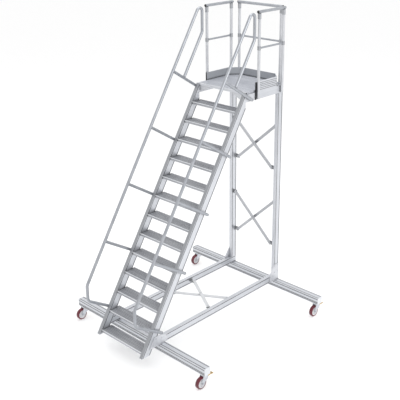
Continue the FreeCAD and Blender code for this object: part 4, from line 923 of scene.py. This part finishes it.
# a flat disc of rings round the object: (radius cos turn, radius sin turn), just below the wheels
def floorDisc():
    rings, steps = studio["floorRings"], studio["floorSteps"]
    radius = np.linspace(0, studio["floorRadius"], rings)[:, None]
    turn = np.arange(steps) * 2 * np.pi / steps
    level = 0 * radius * turn - studio["floorDrop"]
    points = np.stack([radius * np.cos(turn), radius * np.sin(turn), level], -1).reshape(-1, 3)
    mesh = bpy.data.meshes.new("floorDisc")
    mesh.from_pydata(points.tolist(), [], gridFaces(rings, steps, ring=True).tolist())
    work = bmesh.new()
    work.from_mesh(mesh)
    bmesh.ops.remove_doubles(work, verts=work.verts, dist=pieceMesh["weld"])
    work.to_mesh(mesh)
    work.free()
    material, tree, shader, place = startFinish("floorPaper")
    shader.inputs["Base Color"].default_value = studio["floorTone"]
    shader.inputs["Roughness"].default_value = studio["floorRoughness"]
    shader.inputs["Specular IOR Level"].default_value = studio["floorGloss"]
    mesh.materials.append(material)
    floor = bpy.data.objects.new("floorDisc", mesh)
    bpy.context.scene.collection.objects.link(floor)


# its own shadows are off, so that only the sky's soft ones are left
def softLight(name, place, power, size):
    light = bpy.data.lights.new(name, "AREA")
    light.energy = power
    light.shape = "DISK"
    light.size = size
    light.use_shadow = False
    lamp = bpy.data.objects.new(name, light)
    towards = Vector(studio["lampAim"]) - Vector(place)
    lamp.location = place
    lamp.rotation_mode = "QUATERNION"
    lamp.rotation_quaternion = towards.to_track_quat("-Z", "Y")  # a lamp shines along its own -Z
    bpy.context.scene.collection.objects.link(lamp)


def softSky():
    world = bpy.data.worlds.new("studioSky")
    world.use_nodes = True
    background = world.node_tree.nodes["Background"]
    background.inputs["Color"].default_value = studio["skyTone"]
    background.inputs["Strength"].default_value = studio["skyStrength"]
    bpy.context.scene.world = world


def viewCamera():
    data = bpy.data.cameras.new("viewCamera")
    data.lens = studio["lens"]
    data.sensor_width = studio["sensor"]
    data.shift_y = studio["shift"]
    camera = bpy.data.objects.new("viewCamera", data)
    camera.location = studio["cameraPlace"]
    camera.rotation_euler = [math.radians(turn) for turn in studio["cameraTurn"]]
    bpy.context.scene.collection.objects.link(camera)
    bpy.context.scene.camera = camera


floorDisc()
softSky()
bpy.context.scene.view_settings.view_transform = "Standard"
softLight("keyLight", studio["keyPlace"], studio["keyPower"], studio["keySize"])
softLight("fillLight", studio["fillPlace"], studio["fillPower"], studio["fillSize"])
viewCamera()
print("studio made")
